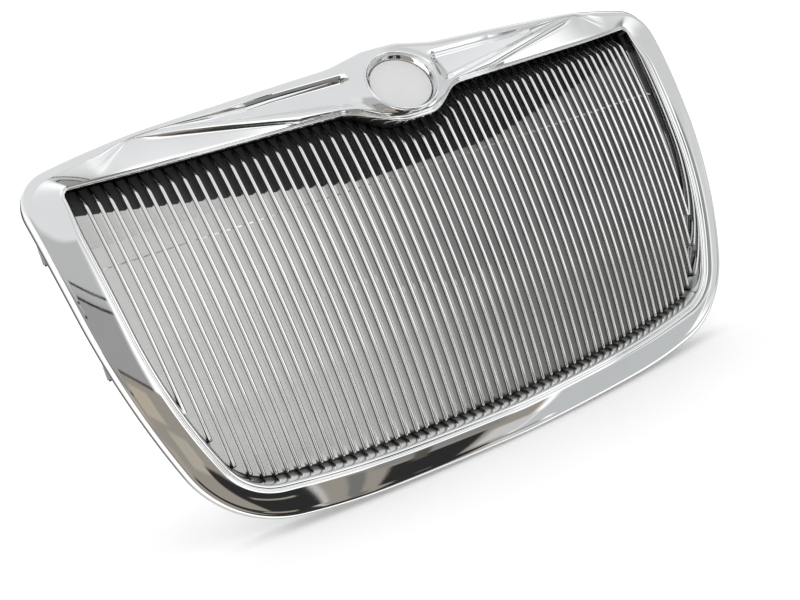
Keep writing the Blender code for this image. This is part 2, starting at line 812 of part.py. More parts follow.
CHROME = make_material("chrome_plate", (0.78, 0.79, 0.80), 0.06, 1.0)
BLACK = make_material("carrier_black", (0.02, 0.02, 0.022), 0.55, 0.0)
BADGE_GREY = make_material("badge_grey", (0.62, 0.62, 0.63), 0.35, 0.3)
FOAM = make_material("foam_black", (0.03, 0.03, 0.03), 0.95, 0.0)
STEEL = make_material("zinc_steel", (0.55, 0.54, 0.50), 0.35, 1.0)
NYLON = make_material("nylon_black", (0.03, 0.03, 0.035), 0.45, 0.0)
PIN_NYLON = make_material("nylon_grey", (0.12, 0.12, 0.13), 0.45, 0.0)
RUBBER = make_material("rubber_black", (0.02, 0.02, 0.02), 0.8, 0.0)

shade_round(build_surround(CHROME))
shade_round(build_insert(CHROME))
build_carrier(BLACK)
build_badge(CHROME, BADGE_GREY, FOAM, STEEL)
build_screws(STEEL)
build_push_rivets(NYLON, PIN_NYLON)
build_side_clips(STEEL)
build_bushes(RUBBER)
centre_on_origin()
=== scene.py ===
"""Looks of the front grille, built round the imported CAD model.

The CAD's surround, bar insert, badge disc and bezel are replaced by finer meshes that follow
the same base surface and the same outlines.  Every other CAD node stays where it is and gets
a procedural material.  Lengths are metres, or millimetres where a name ends in MM; a 'rise' is
how far a point stands in front of the base surface, in millimetres.
"""

import math

import bpy
import numpy as np
from mathutils import Matrix, Vector


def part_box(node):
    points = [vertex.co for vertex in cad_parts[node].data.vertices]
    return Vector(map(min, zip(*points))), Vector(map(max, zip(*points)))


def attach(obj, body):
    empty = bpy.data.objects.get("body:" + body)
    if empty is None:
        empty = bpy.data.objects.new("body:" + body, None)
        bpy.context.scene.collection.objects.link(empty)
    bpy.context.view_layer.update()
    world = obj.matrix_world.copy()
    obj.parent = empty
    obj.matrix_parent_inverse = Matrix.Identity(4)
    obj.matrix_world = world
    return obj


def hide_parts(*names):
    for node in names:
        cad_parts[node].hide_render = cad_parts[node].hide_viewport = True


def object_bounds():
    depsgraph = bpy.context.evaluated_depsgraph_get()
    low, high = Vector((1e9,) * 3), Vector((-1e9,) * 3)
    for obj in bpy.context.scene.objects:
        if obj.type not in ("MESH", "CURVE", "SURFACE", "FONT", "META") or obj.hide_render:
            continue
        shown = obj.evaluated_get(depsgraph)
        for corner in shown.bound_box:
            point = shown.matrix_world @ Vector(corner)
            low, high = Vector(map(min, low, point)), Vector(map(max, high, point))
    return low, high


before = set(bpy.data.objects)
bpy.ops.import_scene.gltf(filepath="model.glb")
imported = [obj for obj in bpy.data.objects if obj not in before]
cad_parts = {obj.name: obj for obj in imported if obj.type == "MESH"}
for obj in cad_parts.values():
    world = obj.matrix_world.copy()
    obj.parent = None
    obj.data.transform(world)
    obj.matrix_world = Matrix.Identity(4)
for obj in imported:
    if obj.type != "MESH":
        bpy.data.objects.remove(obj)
CAD_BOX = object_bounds()
MM = 0.001

# ------------ driving dimensions

# Base surface: y = SWEEP x^2 - SWEEP_EASE x^4 + LEAN z + BELLY z^2
SWEEP = 0.42
SWEEP_EASE = 0.15
LEAN = 0.22
BELLY = 0.636

# Half outlines, clockwise from the top centre: (x, z, corner radius).
OPENING = [
    (0.0000, 0.1185, 0.0),
    (0.0240, 0.1185, 0.050),
    (0.0710, 0.1465, 0.050),
    (0.3025, 0.1519, 0.962),
    (0.3905, 0.1562, 0.006),
    (0.3701, -0.0852, 0.550),
    (0.3230, -0.2000, 0.057),
    (0.2032, -0.2145, 1.500),
    (0.0000, -0.2193, 0.0),
]
OUTER = [
    (0.0000, 0.2140, 0.0),
    (0.0220, 0.2140, 0.060),
    (0.0700, 0.2045, 0.120),
    (0.3340, 0.1953, 0.939),
    (0.4425, 0.1760, 0.044),
    (0.4167, -0.0683, 0.880),
    (0.3591, -0.2392, 0.126),
    (0.2283, -0.2581, 0.850),
    (0.0000, -0.2619, 0.0),
]
PEG_X = 0.150
PEG_Z = -0.2350
BUSH_BACK = 0.0510

WALL_MM = 3.0
RETURN_MM = 21.0  # the return wall's rear edge, behind the base surface
FLANGE_MM = 35.5  # the outer flange's rear edge
FLANGE_DRAFT = 0.15  # it leans inward by this much for each unit back

# Bead round the opening: (distance from the opening's edge, rise), both in mm.
LIP_WIDE_MM = [
    (0.0, -21.0), (0.2, -12.0), (0.6, -6.0), (1.4, -1.0), (2.3, 3.0), (3.0, 6.0), (3.7, 8.4), (4.7, 10.1),
    (5.9, 10.8), (7.1, 10.6), (8.0, 9.9), (8.5, 9.3), (9.1, 9.9), (9.8, 11.1), (10.7, 11.8), (11.6, 12.0),
]
LIP_NARROW_MM = [
    (0.0, -21.0), (0.05, -12.0), (0.1, -6.0), (0.2, -2.0), (0.35, 0.8), (0.7, 2.6), (1.2, 3.8), (1.9, 4.5),
    (2.6, 4.6), (3.2, 4.2), (3.6, 3.6), (3.85, 3.2), (4.1, 3.5), (4.5, 4.1), (5.0, 4.5), (5.6, 4.7),
]
LIP_WIDENS_Z = (0.150, 0.100)
LIP_UNDER_POD_MM = 13.0  # the lip comes forward by this much under the badge
LIP_UNDER_POD_X = (0.082, 0.030)
LIFT_STARTS_MM = (-12.0, 2.0)  # that lift sets in between these rises
LIFT_FADES_MM = 14.0  # and how far above the lip it has faded out

BADGE_Z = 0.168
BADGE_TILT = math.radians(33)
POD_RISE = 0.022
RING_OUTER = 0.0444
RING_INNER = 0.0418
POCKET_RADIUS = 0.0430  # the surround drops into the badge pocket here, under the ring
POCKET_DEPTH = 0.0125
DISC_RADIUS = 0.0371
DISC_BELOW_RIM = 0.0068

BAR_COUNT = 60
BAR_PITCH = 0.01279
BAR_FAN = 0.173
BAR_NOSE = 0.0042
BAR_TAIL = 0.0026
BAR_FRONT = 0.006
BAR_BACK = 0.026
BAR_KNEE_TOP = 0.019
BAR_KNEE_BOTTOM = 0.0020
BAR_CLEAR = 0.0012
SIDE_BURY = 0.010  # how far a bar that ends on the side wall runs into it
INSERT_FLANGE = (0.0230, 0.0265)
RIB_Z = 0.065
RIB_HALF = 0.0008
RIB_FRONT = -0.002  # from the bars' rear edges
RIB_REAR = 0.003


def base_y(x, z):
    return SWEEP * x * x - SWEEP_EASE * x ** 4 + LEAN * z + BELLY * z * z


def find_datum():
    """Where the base surface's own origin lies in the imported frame."""
    surround_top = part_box("surround_shell")[1].z
    bush_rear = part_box("lower_bush_left")[1].y
    shift_y = bush_rear - base_y(PEG_X, PEG_Z) - BUSH_BACK
    return np.array([0.0, shift_y, surround_top - OUTER[0][1]])


DATUM = find_datum()


def smooth(value, low, high):
    """0 below low, 1 above high, and a smooth ramp between them; low may be the larger."""
    share = np.clip((value - low) / (high - low), 0.0, 1.0)
    return share * share * (3 - 2 * share)


def mix(first, second, share):
    return first + (second - first) * share


# ------------ outlines

class Outline:
    """A rounded half outline as dense points, with arc length and outward normals."""

    def __init__(self, corners, pitch=0.0005):
        flat = [np.array(corner[:2]) for corner in corners]
        points = [flat[0][None]]
        self.arc_ends = []
        length_so_far = 0.0
        last = flat[0]
        for index in range(1, len(corners) - 1):
            arc = fillet(flat[index - 1], flat[index], flat[index + 1], corners[index][2], pitch)
            steps = max(2, int(np.linalg.norm(arc[0] - last) / pitch))
            line = last + (arc[0] - last) * np.linspace(0, 1, steps + 1)[1:, None]
            length_so_far += np.linalg.norm(arc[0] - last)
            arc_length = np.linalg.norm(np.diff(arc, axis=0), axis=1).sum()
            self.arc_ends.append((length_so_far, length_so_far + arc_length))
            length_so_far += arc_length
            points.append(line)
            points.append(arc[1:])
            last = arc[-1]
        steps = int(np.linalg.norm(flat[-1] - last) / pitch)
        points.append(last + (flat[-1] - last) * np.linspace(0, 1, steps + 1)[1:, None])
        self.points = np.concatenate(points)
        gaps = np.linalg.norm(np.diff(self.points, axis=0), axis=1)
        self.length = np.concatenate([[0.0], np.cumsum(gaps)])
        tangent = np.gradient(self.points, self.length, axis=0)
        tangent[0] = (1, 0)
        tangent[-1] = (-1, 0)
        tangent /= np.linalg.norm(tangent, axis=1)[:, None]
        self.normals = np.stack([-tangent[:, 1], tangent[:, 0]], axis=1)
        corner = int(np.argmax(self.points[:, 0]))
        rows = np.column_stack([self.points, self.length])
        self.upper = rows[:corner + 1].T    # x, z and arc length, as far as the top corner
        self.lower = rows[corner:].T        # and from there on

    def at(self, length):
        """Points and outward unit normals at the given arc lengths."""
        point, normal = (
            np.stack([np.interp(length, self.length, values[:, k]) for k in (0, 1)], axis=-1)
            for values in (self.points, self.normals))
        return point, normal / np.linalg.norm(normal, axis=-1, keepdims=True)

    def length_at_top(self, x):
        """Arc length where the top edge reaches x."""
        return np.interp(x, self.upper[0], self.upper[2])

    def length_at_bottom(self, x):
        return np.interp(x, self.lower[0][::-1], self.lower[2][::-1])

    def length_at_side(self, z):
        return np.interp(-z, -self.lower[1], self.lower[2])

    def top_z(self, x):
        return np.interp(np.abs(x), self.upper[0], self.upper[1])

    def bottom_z(self, x):
        return np.interp(np.abs(x), self.lower[0][::-1], self.lower[1][::-1])

    def side_x(self, z):
        return np.interp(-z, -self.lower[1], self.lower[0])


def fillet(before, corner, after, radius, pitch):
    """Points on the arc that rounds 'corner'."""
    to_before = (before - corner) / np.linalg.norm(before - corner)
    to_after = (after - corner) / np.linalg.norm(after - corner)
    half = math.acos(float(np.clip(to_before @ to_after, -1, 1))) / 2
    bisector = (to_before + to_after) / np.linalg.norm(to_before + to_after)
    centre = corner + bisector * radius / math.sin(half)
    start = corner + to_before * radius / math.tan(half) - centre
    end = corner + to_after * radius / math.tan(half) - centre
    turn = math.atan2(start[0] * end[1] - start[1] * end[0], float(start @ end))
    steps = max(10, int(abs(turn) * radius / pitch))
    angles = turn * np.linspace(0, 1, steps + 1)
    return centre + np.stack([
        start[0] * np.cos(angles) - start[1] * np.sin(angles),
        start[0] * np.sin(angles) + start[1] * np.cos(angles),
    ], axis=1)


INNER_LINE = Outline(OPENING)
OUTER_LINE = Outline(OUTER)


# ------------ mesh helpers

def mesh_object(name, vertices, faces, material):
    """A smooth-shaded object from vertices in base coordinates."""
    mesh = bpy.data.meshes.new(name)
    mesh.from_pydata((np.asarray(vertices) + DATUM).tolist(), [], faces)
    mesh.validate()
    mesh.polygons.foreach_set("use_smooth", [True] * len(mesh.polygons))
    item = bpy.data.objects.new(name, mesh)
    bpy.context.scene.collection.objects.link(item)
    mesh.materials.append(material)
    return item


def mark_painted_shade(item, values):
    """Store how much painted shade each vertex gets; the chrome is darkened there."""
    attribute = item.data.attributes.new("painted_shade", "FLOAT", "POINT")
    attribute.data.foreach_set("value", np.asarray(values, dtype=float).ravel())


def grid_faces(rows, columns, wrap_rows, wrap_columns, first=0):
    """Quads over a rows x columns grid of vertices."""
    faces = []
    for row in range(rows if wrap_rows else rows - 1):
        next_row = (row + 1) % rows
        for column in range(columns if wrap_columns else columns - 1):
            next_column = (column + 1) % columns
            faces.append((first + row * columns + column,
                          first + row * columns + next_column,
                          first + next_row * columns + next_column,
                          first + next_row * columns + column))
    return faces


def turned(name, profile, place, material, segments=128):
    """A closed body of revolution about the local Z of 'place', from (radius, height) points."""
    angles = 2 * np.pi * np.arange(segments) / segments
    profile = np.array(profile)
    on_axis = profile[0, 0] == 0 and profile[-1, 0] == 0
    ring = profile[1:-1] if on_axis else profile
    local = np.stack([
        ring[:, None, 0] * np.cos(angles),
        ring[:, None, 0] * np.sin(angles),
        np.repeat(ring[:, None, 1], segments, axis=1),
    ], axis=-1).reshape(-1, 3)
    faces = grid_faces(len(ring), segments, not on_axis, True)
    if on_axis:
        local = np.concatenate([local, [(0, 0, profile[0, 1])], [(0, 0, profile[-1, 1])]])
        first_pole = len(local) - 2
        last_row = (len(ring) - 1) * segments
        for k in range(segments):
            after = (k + 1) % segments
            faces.append((first_pole, after, k))
            faces.append((first_pole + 1, last_row + k, last_row + after))
    matrix = np.array(place)
    world = local @ matrix[:3, :3].T + matrix[:3, 3]
    return mesh_object(name, world, faces, material)


# ------------ surround

TOP_CORNER = 3  # the outlines' corners, counted from the top centre
LOW_CORNER = 5
POD_STATIONS = (0.075, 0.0011)  # along the top as far as this x, this far apart
WING_STATIONS = (0.335, 0.0020)
SIDE_STATIONS = ((0.07, 36), (-0.06, 30))  # (height on the side, steps to the next knot)
BOTTOM_STATIONS = (0.15, 40)


def station_lengths():
    """Paired arc lengths on the opening's and the outer outline for one half, top to bottom."""
    lines = (INNER_LINE, OUTER_LINE)
    near_pod = np.arange(0, *POD_STATIONS)
    along_wing = np.arange(POD_STATIONS[0], *WING_STATIONS)
    pairs = [[line.length_at_top(x) for line in lines] for x in np.concatenate([near_pod, along_wing])]
    knots = [
        ([line.length_at_top(WING_STATIONS[0]) for line in lines], 14),
        ([line.arc_ends[TOP_CORNER][0] for line in lines], 18),
        ([line.arc_ends[TOP_CORNER][1] for line in lines], 22),
        *(([line.length_at_side(z) for line in lines], steps) for z, steps in SIDE_STATIONS),
        ([line.arc_ends[LOW_CORNER][0] for line in lines], 34),
        ([line.arc_ends[LOW_CORNER][1] for line in lines], 22),
        ([line.length_at_bottom(BOTTOM_STATIONS[0]) for line in lines], BOTTOM_STATIONS[1]),
        ([line.length[-1] for line in lines], 0),
    ]
    for (first, steps), (after, _) in zip(knots, knots[1:]):
        for step in range(steps):
            pairs.append(mix(np.array(first), np.array(after), step / steps))
    pairs.append(knots[-1][0])
    return np.array(pairs)


CREASE_START = (0.097, 0.147)  # each wing's lines: a point on it (x, z), and its slope
CREASE_SLOPE = 0.2047
RIDGE_START = (0.065, 0.1520)
RIDGE_SLOPE = 0.188
WING_NARROWS_X = 0.20
WING_END_X = 0.312
RAIL_EDGE_Z = 0.194
RAIL_WIDTH = (0.0078, 0.0042)  # before the wing narrows, and at its end
LINE_GAPS = (0.0002, 0.0009, 0.0004, 0.0006)  # the least room between one line and the next
WALL_BAND = 0.0088  # height of the trough's upper wall
WALL_SHARE = 0.45  # it never takes more of the height between ridge and rail
DROP_SHARE = 0.28  # share of the rest that falls from the ridge to the trough's floor

RAIL_MM = 12.5
RAIL_FADES_X = (0.17, 0.33)
STRIP_MM = 6.0
RIDGE_MM = 12.0
RIDGE_FADES_X = (0.18, 0.27)
CORNER_FACE_MM = 8.5
SIDE_FACE_MM = 10.5
TROUGH_MM = 7.2
TROUGH_OPENS_X = (0.052, 0.066)
TROUGH_TALL = 0.010  # where ridge and rail are closer than this, the trough is shallower
GROOVE = 0.0006  # the crease's width
GROOVE_MM = 0.7  # its depth
GROOVE_FADES_X = (0.262, 0.304)

# Rows of the face: strip, crease, band, drop, trough floor, trough wall, and rail.
FACE_ROWS = (7, 4, 12, 10, 14, 9, 22)
ROLL_ROWS = 9
FLANGE_ROWS = 4


def lip_top(x):
    """Height z of the lip's upper edge along the top."""
    return INNER_LINE.top_z(x) + LIP_NARROW_MM[-1][0] * MM


def wing_lines(x):
    """Heights of the wing's lines at x: crease, ridge, trough floor's edges and rail's edge."""
    over_lip, under_rail, over_crease, ridge_under_rail = LINE_GAPS
    rail_width = mix(*RAIL_WIDTH, smooth(x, WING_NARROWS_X, WING_END_X))
    rail = np.minimum(RAIL_EDGE_Z, OUTER_LINE.top_z(x) - rail_width)
    crease = CREASE_START[1] + CREASE_SLOPE * (x - CREASE_START[0])
    crease = np.clip(crease, lip_top(x) + over_lip, rail - under_rail)
    ridge = RIDGE_START[1] + RIDGE_SLOPE * (x - RIDGE_START[0])
    ridge = np.clip(ridge, crease + over_crease, rail - ridge_under_rail)
    wall = np.minimum(WALL_BAND, (rail - ridge) * WALL_SHARE)
    floor_high = rail - wall
    floor_low = mix(ridge, floor_high, DROP_SHARE)
    return crease, ridge, floor_low, floor_high, rail


def two_facets(share):
    """The trough's upper wall: steeper in its lower half."""
    return np.interp(share, [0.0, 0.05, 0.48, 0.95, 1.0], [0.0, 0.07, 0.66, 0.975, 1.0])


def wing_rows(x):
    """For one x on the top: heights z and rises in mm for every face row, lip to rail."""
    crease, ridge, floor_low, floor_high, rail = wing_lines(x)
    rail_mm = mix(RAIL_MM, CORNER_FACE_MM, smooth(x, *RAIL_FADES_X))
    crease_mm = mix(STRIP_MM, CORNER_FACE_MM - 0.4, smooth(x, WING_NARROWS_X, WING_END_X))
    ridge_mm = mix(RIDGE_MM, rail_mm - 0.2, smooth(x, *RIDGE_FADES_X))
    open_trough = np.clip((rail - ridge) / TROUGH_TALL, 0, 1) * smooth(x, *TROUGH_OPENS_X)
    floor_mm = ridge_mm - TROUGH_MM * open_trough
    lip_mm = LIP_NARROW_MM[-1][1]
    strip_count, groove_count, band_count, drop_count, floor_count, wall_count, _ = FACE_ROWS
    z_rows = []
    rise_rows = []

    def add(low_z, high_z, low_mm, high_mm, count, shape):
        share = np.arange(count) / count
        z_rows.append(mix(low_z, high_z, share))
        rise_rows.append(mix(low_mm, high_mm, shape(share)))

    groove = min(GROOVE, (ridge - crease) * 0.3)
    depth = 1 - smooth(x, *GROOVE_FADES_X)
    groove_mm = crease_mm + 0.2 * depth
    add(lip_top(x), crease, lip_mm, crease_mm, strip_count, lambda s: s)
    add(crease, crease + groove, crease_mm - GROOVE_MM * depth, groove_mm, groove_count, lambda s: s)
    add(crease + groove, ridge, groove_mm, ridge_mm, band_count, lambda s: 1 - (1 - s) ** 4)
    add(ridge, floor_low, ridge_mm, floor_mm, drop_count, lambda s: 0.5 - 0.5 * np.cos(s * np.pi))
    add(floor_low, floor_high, floor_mm, floor_mm, floor_count, lambda s: s)
    add(floor_high, rail, floor_mm, rail_mm, wall_count, two_facets)
    z_rows.append(np.array([rail]))
    rise_rows.append(np.array([rail_mm]))
    return np.concatenate(z_rows), np.concatenate(rise_rows)


POD_REACH = 0.11  # the pod's collar shapes the face up to this x
TOP_RIM_Z = 0.1  # points above this are on the top rim
COLLAR_BELOW_MM = 0.4  # the collar starts this far below the ring's plane
COLLAR_SLOPE = 0.62
COLLAR_CURVE = 0.010
COLLAR_BLEND_MM = 2.2
COLLAR_CLEARS_LIP_MM = 3.2  # it grows in above the lip over about this distance


def pod_field(x, z, rise_mm):
    """Raise the face round the badge into the pod's collar, and drop it into the pocket."""
    tangent = math.tan(BADGE_TILT)
    centre_y = base_y(0, BADGE_Z) - POD_RISE
    plane_mm = (base_y(x, z) - (centre_y + (z - BADGE_Z) * tangent)) / MM
    radius = np.hypot(x, (z - BADGE_Z) / math.cos(BADGE_TILT))
    outside = np.maximum(radius - RING_OUTER, 0) / MM
    collar_mm = plane_mm - COLLAR_BELOW_MM - COLLAR_SLOPE * outside - COLLAR_CURVE * outside ** 2
    gap = np.clip((collar_mm - rise_mm) / COLLAR_BLEND_MM, -30, 30)
    merged = rise_mm + COLLAR_BLEND_MM * np.log1p(np.exp(gap))
    above_lip = np.maximum(z - lip_top(x), 0) / MM
    pull = 1 - np.exp(-(above_lip / COLLAR_CLEARS_LIP_MM) ** 1.25)
    merged = mix(rise_mm, merged, pull)
    pocket_mm = plane_mm - POCKET_DEPTH / MM / math.cos(BADGE_TILT)
    return np.where(radius < POCKET_RADIUS, pocket_mm, merged)


def raise_pod(points, rise_mm):
    """The rises with the pod's collar and pocket worked in, near the badge."""
    near = (points[..., 0] < POD_REACH) & (points[..., 1] > TOP_RIM_Z)
    return np.where(near, pod_field(points[..., 0], points[..., 1], rise_mm), rise_mm)


def lip_lift(x, z):
    """How far the lip comes forward at (x, z), in mm."""
    return LIP_UNDER_POD_MM * smooth(np.abs(x), *LIP_UNDER_POD_X) * (z > 0)


def lip_rows(inner, normal):
    """Lip points for every station: positions (stations, rows, 2) and rises in mm."""
    wide = np.array(LIP_WIDE_MM)
    narrow = np.array(LIP_NARROW_MM)
    share = smooth(inner[:, 1], *LIP_WIDENS_Z)[:, None]
    distance = mix(narrow[:, 0], wide[:, 0], share) * MM
    rise = mix(narrow[:, 1], wide[:, 1], share)
    rise = rise + lip_lift(inner[:, 0], inner[:, 1])[:, None] * smooth(rise, *LIFT_STARTS_MM)
    return inner[:, None] + normal[:, None] * distance[..., None], rise


WING_TO_CORNER_X = (0.36, 0.30)  # the wing's own rows give way to evenly spread ones
CORNER_X = 0.40
FACE_LOWERS_Z = (0.175, 0.10)  # the corner's rises give way to the side's
SIDE_CROWN_MM = 2.8  # the side's face bulges by a quarter of this
ROLLOVER = 0.0095  # the rollover region's width on the sides
ROLL_WIDTH = 0.0078  # the rounding itself
ROLL_DROP_MM = 8.5
UNDER_STEP = 4  # the inner skin follows every fourth row of the face
UNDER_SHIFT = 0.0006

# Behind the lip, inside: (distance from the opening's edge, rise), both in mm.
LIP_UNDER_MM = [(7.0, -3.6), (4.2, -6.0), (3.1, -12.0), (3.0, -RETURN_MM)]
LIP_UNDER_NARROW_MM = 4.6  # the farthest of those distances where the lip is narrow

LIP_SHADE_MM = (2.0, -5.0)  # rises between which the painted shade on the lip's rear sets in
LEVEL_RUN = (0.35, 0.8)  # how level the opening's edge is where that happens


def rollover_start(outer, top_share, low_share):
    """For each station, the rollover's distance from the outline, and the rise where it starts."""
    edge_rise = mix(CORNER_FACE_MM, SIDE_FACE_MM, low_share)
    roll = np.full(len(outer), ROLLOVER)
    for k in np.flatnonzero(top_share > 0):
        x = outer[k, 0]
        top_roll = OUTER_LINE.top_z(x) - wing_lines(x)[-1]
        roll[k] = mix(roll[k], top_roll, top_share[k])
        edge_rise[k] = mix(edge_rise[k], wing_rows(x)[1][-1], top_share[k])
    return roll, edge_rise


def face_section(inner, lip, ends, top_share, low_share):
    """Face rows from the lip to the rollover: evenly spread, or the wing's own along the top."""
    lip_points, lip_rise = lip
    end_points, end_rise = ends
    share = np.linspace(0, 1, sum(FACE_ROWS[:-1]) + 1)[None, :, None]
    points = mix(lip_points[:, -1][:, None], end_points[:, None], share)
    rise = mix(lip_rise[:, -1][:, None], end_rise[:, None], share[..., 0])
    rise = rise + SIDE_CROWN_MM * low_share[:, None] * share[..., 0] * (1 - share[..., 0])
    for k in np.flatnonzero(top_share > 0):
        x = inner[k, 0]
        z_rows, rise_rows = wing_rows(x)
        points[k, :, 1] = mix(points[k, :, 1], z_rows, top_share[k])
        points[k, :, 0] = mix(points[k, :, 0], x, top_share[k])
        rise[k] = mix(rise[k], rise_rows, top_share[k])
    above_lip = (points[..., 1] - inner[:, 1][:, None]) / MM - LIP_NARROW_MM[-1][0]
    lift = lip_lift(points[..., 0], points[..., 1]) * smooth(above_lip, LIFT_FADES_MM, 0.0)
    return points, raise_pod(points, rise + lift)


def rail_section(ends, shoulder):
    """Rail rows: over the pod the rail is tall, so they carry the pocket and the collar too."""
    end_points, end_rise = ends
    rows = FACE_ROWS[-1] + 1
    share = np.linspace(0, 1, rows)[None, :, None]
    points = mix(end_points[:, None], shoulder[:, None], share)
    return points, raise_pod(points, np.repeat(end_rise[:, None], rows, axis=1))


def flange_section(outer, outer_normal, flat_top, shoulder_rise):
    """The rollover, the flange's outside, and its inside on the way back up."""
    turn = np.linspace(0, np.pi / 2, ROLL_ROWS + 1)[None, 1:]
    drop = np.minimum(flat_top / MM, ROLL_DROP_MM)[:, None]
    roll_in = flat_top[:, None] * (1 - np.sin(turn))
    roll_rise = shoulder_rise - drop * (1 - np.cos(turn))
    edge_rise = roll_rise[:, -1:]
    back_share = np.linspace(0, 1, FLANGE_ROWS + 1)[1:] ** 1.3
    flange_rise = mix(edge_rise, -FLANGE_MM, back_share)
    lean = FLANGE_DRAFT * (edge_rise - flange_rise) * MM
    inward = np.concatenate([roll_in, lean, lean[:, ::-1] + WALL_MM * MM], axis=1)
    rise = np.concatenate([roll_rise, flange_rise, flange_rise[:, ::-1]], axis=1)
    return outer[:, None] - outer_normal[:, None] * inward[..., None], rise


def under_section(inner, inner_normal, points, rise):
    """The inner skin: the face again, one wall's thickness back, then down behind the lip."""
    under = slice(None, None, -UNDER_STEP)
    points = points[:, under]
    keep = np.linspace(0, 1, points.shape[1])[None, :, None]
    points = points + inner_normal[:, None] * (UNDER_SHIFT * (1 - keep))
    wide_share = smooth(inner[:, 1], *LIP_WIDENS_Z)[:, None]
    distance, lip_rise = np.array(LIP_UNDER_MM).T
    along = mix(np.minimum(distance, LIP_UNDER_NARROW_MM), distance, wide_share) * MM
    lip_points = inner[:, None] + inner_normal[:, None] * along[..., None]
    lip_rise = np.broadcast_to(lip_rise, along.shape)
    return (np.concatenate([points, lip_points], axis=1),
            np.concatenate([rise[:, under] - WALL_MM, lip_rise], axis=1))


def surround_sections():
    """Every row of the surround's closed section, for each station of the right half."""
    lengths = station_lengths()
    inner, inner_normal = INNER_LINE.at(lengths[:, 0])
    outer, outer_normal = OUTER_LINE.at(lengths[:, 1])
    on_top = (inner[:, 1] > TOP_RIM_Z) & (outer[:, 1] > OUTER_LINE.top_z(CORNER_X))
    top_share = smooth(outer[:, 0], *WING_TO_CORNER_X) * on_top
    low_share = smooth(outer[:, 1], *FACE_LOWERS_Z)
    roll, edge_rise = rollover_start(outer, top_share, low_share)
    flat_top = np.minimum(ROLL_WIDTH, roll)
    shoulder = outer - outer_normal * flat_top[:, None]
    lip = lip_rows(inner, inner_normal)
    ends = (outer - outer_normal * roll[:, None], edge_rise)
    face = face_section(inner, lip, ends, top_share, low_share)
    rail = rail_section(ends, shoulder)
    flange = flange_section(outer, outer_normal, flat_top, rail[1][:, -1:])
    front = [np.concatenate([face[k], rail[k][:, 1:]], axis=1) for k in (0, 1)]
    under = under_section(inner, inner_normal, *front)
    return [np.concatenate([lip[k], front[k][:, 1:], flange[k], under[k]], axis=1) for k in (0, 1)]


def surround_painted_shade(rises):
    """Painted shade of the right half: on the lip's rear where its edge runs level, and all over the inside.
    """
    lip_count = len(LIP_WIDE_MM)
    back_row = lip_count + sum(FACE_ROWS) + ROLL_ROWS + FLANGE_ROWS
    painted_shade = np.zeros_like(rises)
    _, inner_normal = INNER_LINE.at(station_lengths()[:, 0])
    level = smooth(np.abs(inner_normal[:, 1]), *LEVEL_RUN)
    painted_shade[:, :lip_count] = smooth(rises[:, :lip_count], *LIP_SHADE_MM) * level[:, None]
    painted_shade[:, back_row:] = 1.0
    return painted_shade


def mirrored(right):
    """Sections all round, from the right half's; both end sections are on the centre line."""
    left = right[1:-1][::-1] * np.array([-1, 1, 1])
    return np.concatenate([right, left])


def build_surround(material):
    points, rises = surround_sections()
    x = points[..., 0]
    z = points[..., 1]
    right = np.stack([x, base_y(x, z) - rises * MM, z], axis=-1)
    right[0, :, 0] = 0
    right[-1, :, 0] = 0
    sections = mirrored(right)
    faces = grid_faces(*sections.shape[:2], True, True)
    shell = mesh_object("chrome_surround", sections.reshape(-1, 3), faces, material)
    # Painted shade on the lip's rear and the inside skin, which darkens the chrome there.
    painted_shade = surround_painted_shade(rises)
    mark_painted_shade(shell, np.concatenate([painted_shade, painted_shade[1:-1][::-1]]))
    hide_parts("surround_shell")
    return shell


# ------------ bars

SPAN_Z = (-0.225, 0.170)  # bars are looked for between these heights
SPAN_STEP = 0.00025
SHORTEST = 120  # steps; a shorter bar is left out
NOSE_POINTS = 10
NOSE_ROUND = 0.9  # the nose's depth over its half width
TAIL_EDGE = 0.0004
TAIL_FLAT = 0.6
ROOT = 0.004  # a bar's ends run on by this much, into the flange
ROOT_SUNK = 0.0006
KNEE_PROUD = 0.0008  # a bent-back end stops this far in front of the flange
SIDE_STEP = 0.012  # an end this far above the bottom edge is on the side wall
# height of the painted shade at the foot of a bar that stands on the bottom edge
FOOT_TALL = 0.0080
NOSE_SHADOW = ((-1, 0.15), (0, 0.80), (1, 0.65), (2, 0.20))  # painted shade beside each nose, by column
BENT_BACK = (0.0085, 0.019)  # nose depths between which a bar's flanks get painted shade


def bar_span(nominal_x):
    """Lowest and highest z of a bar, and whether it ends on the side wall; None if too short."""
    margin = BAR_NOSE / 2 + BAR_CLEAR
    z = np.arange(*SPAN_Z, SPAN_STEP)
    x = np.abs(nominal_x * (1 + BAR_FAN * z))
    inside = (z < INNER_LINE.top_z(x) - margin) & (z > INNER_LINE.bottom_z(x) + margin)
    inside &= x < INNER_LINE.side_x(z) - margin
    rows = z[inside]
    if len(rows) <= SHORTEST:
        return None
    ends_on_side = INNER_LINE.bottom_z(x[inside][0]) < rows[0] - SIDE_STEP
    return rows[0] - margin, rows[-1] + margin, ends_on_side


def knee_depth(distance, knee, front, rear, soften):
    """How far back the nose is, 'distance' from the opening's edge: straight, then bent back."""
    slope = (rear - front) / knee
    bend = (knee - distance) / soften
    return front + slope * soften * np.log1p(np.exp(np.clip(bend, -40, 40)))


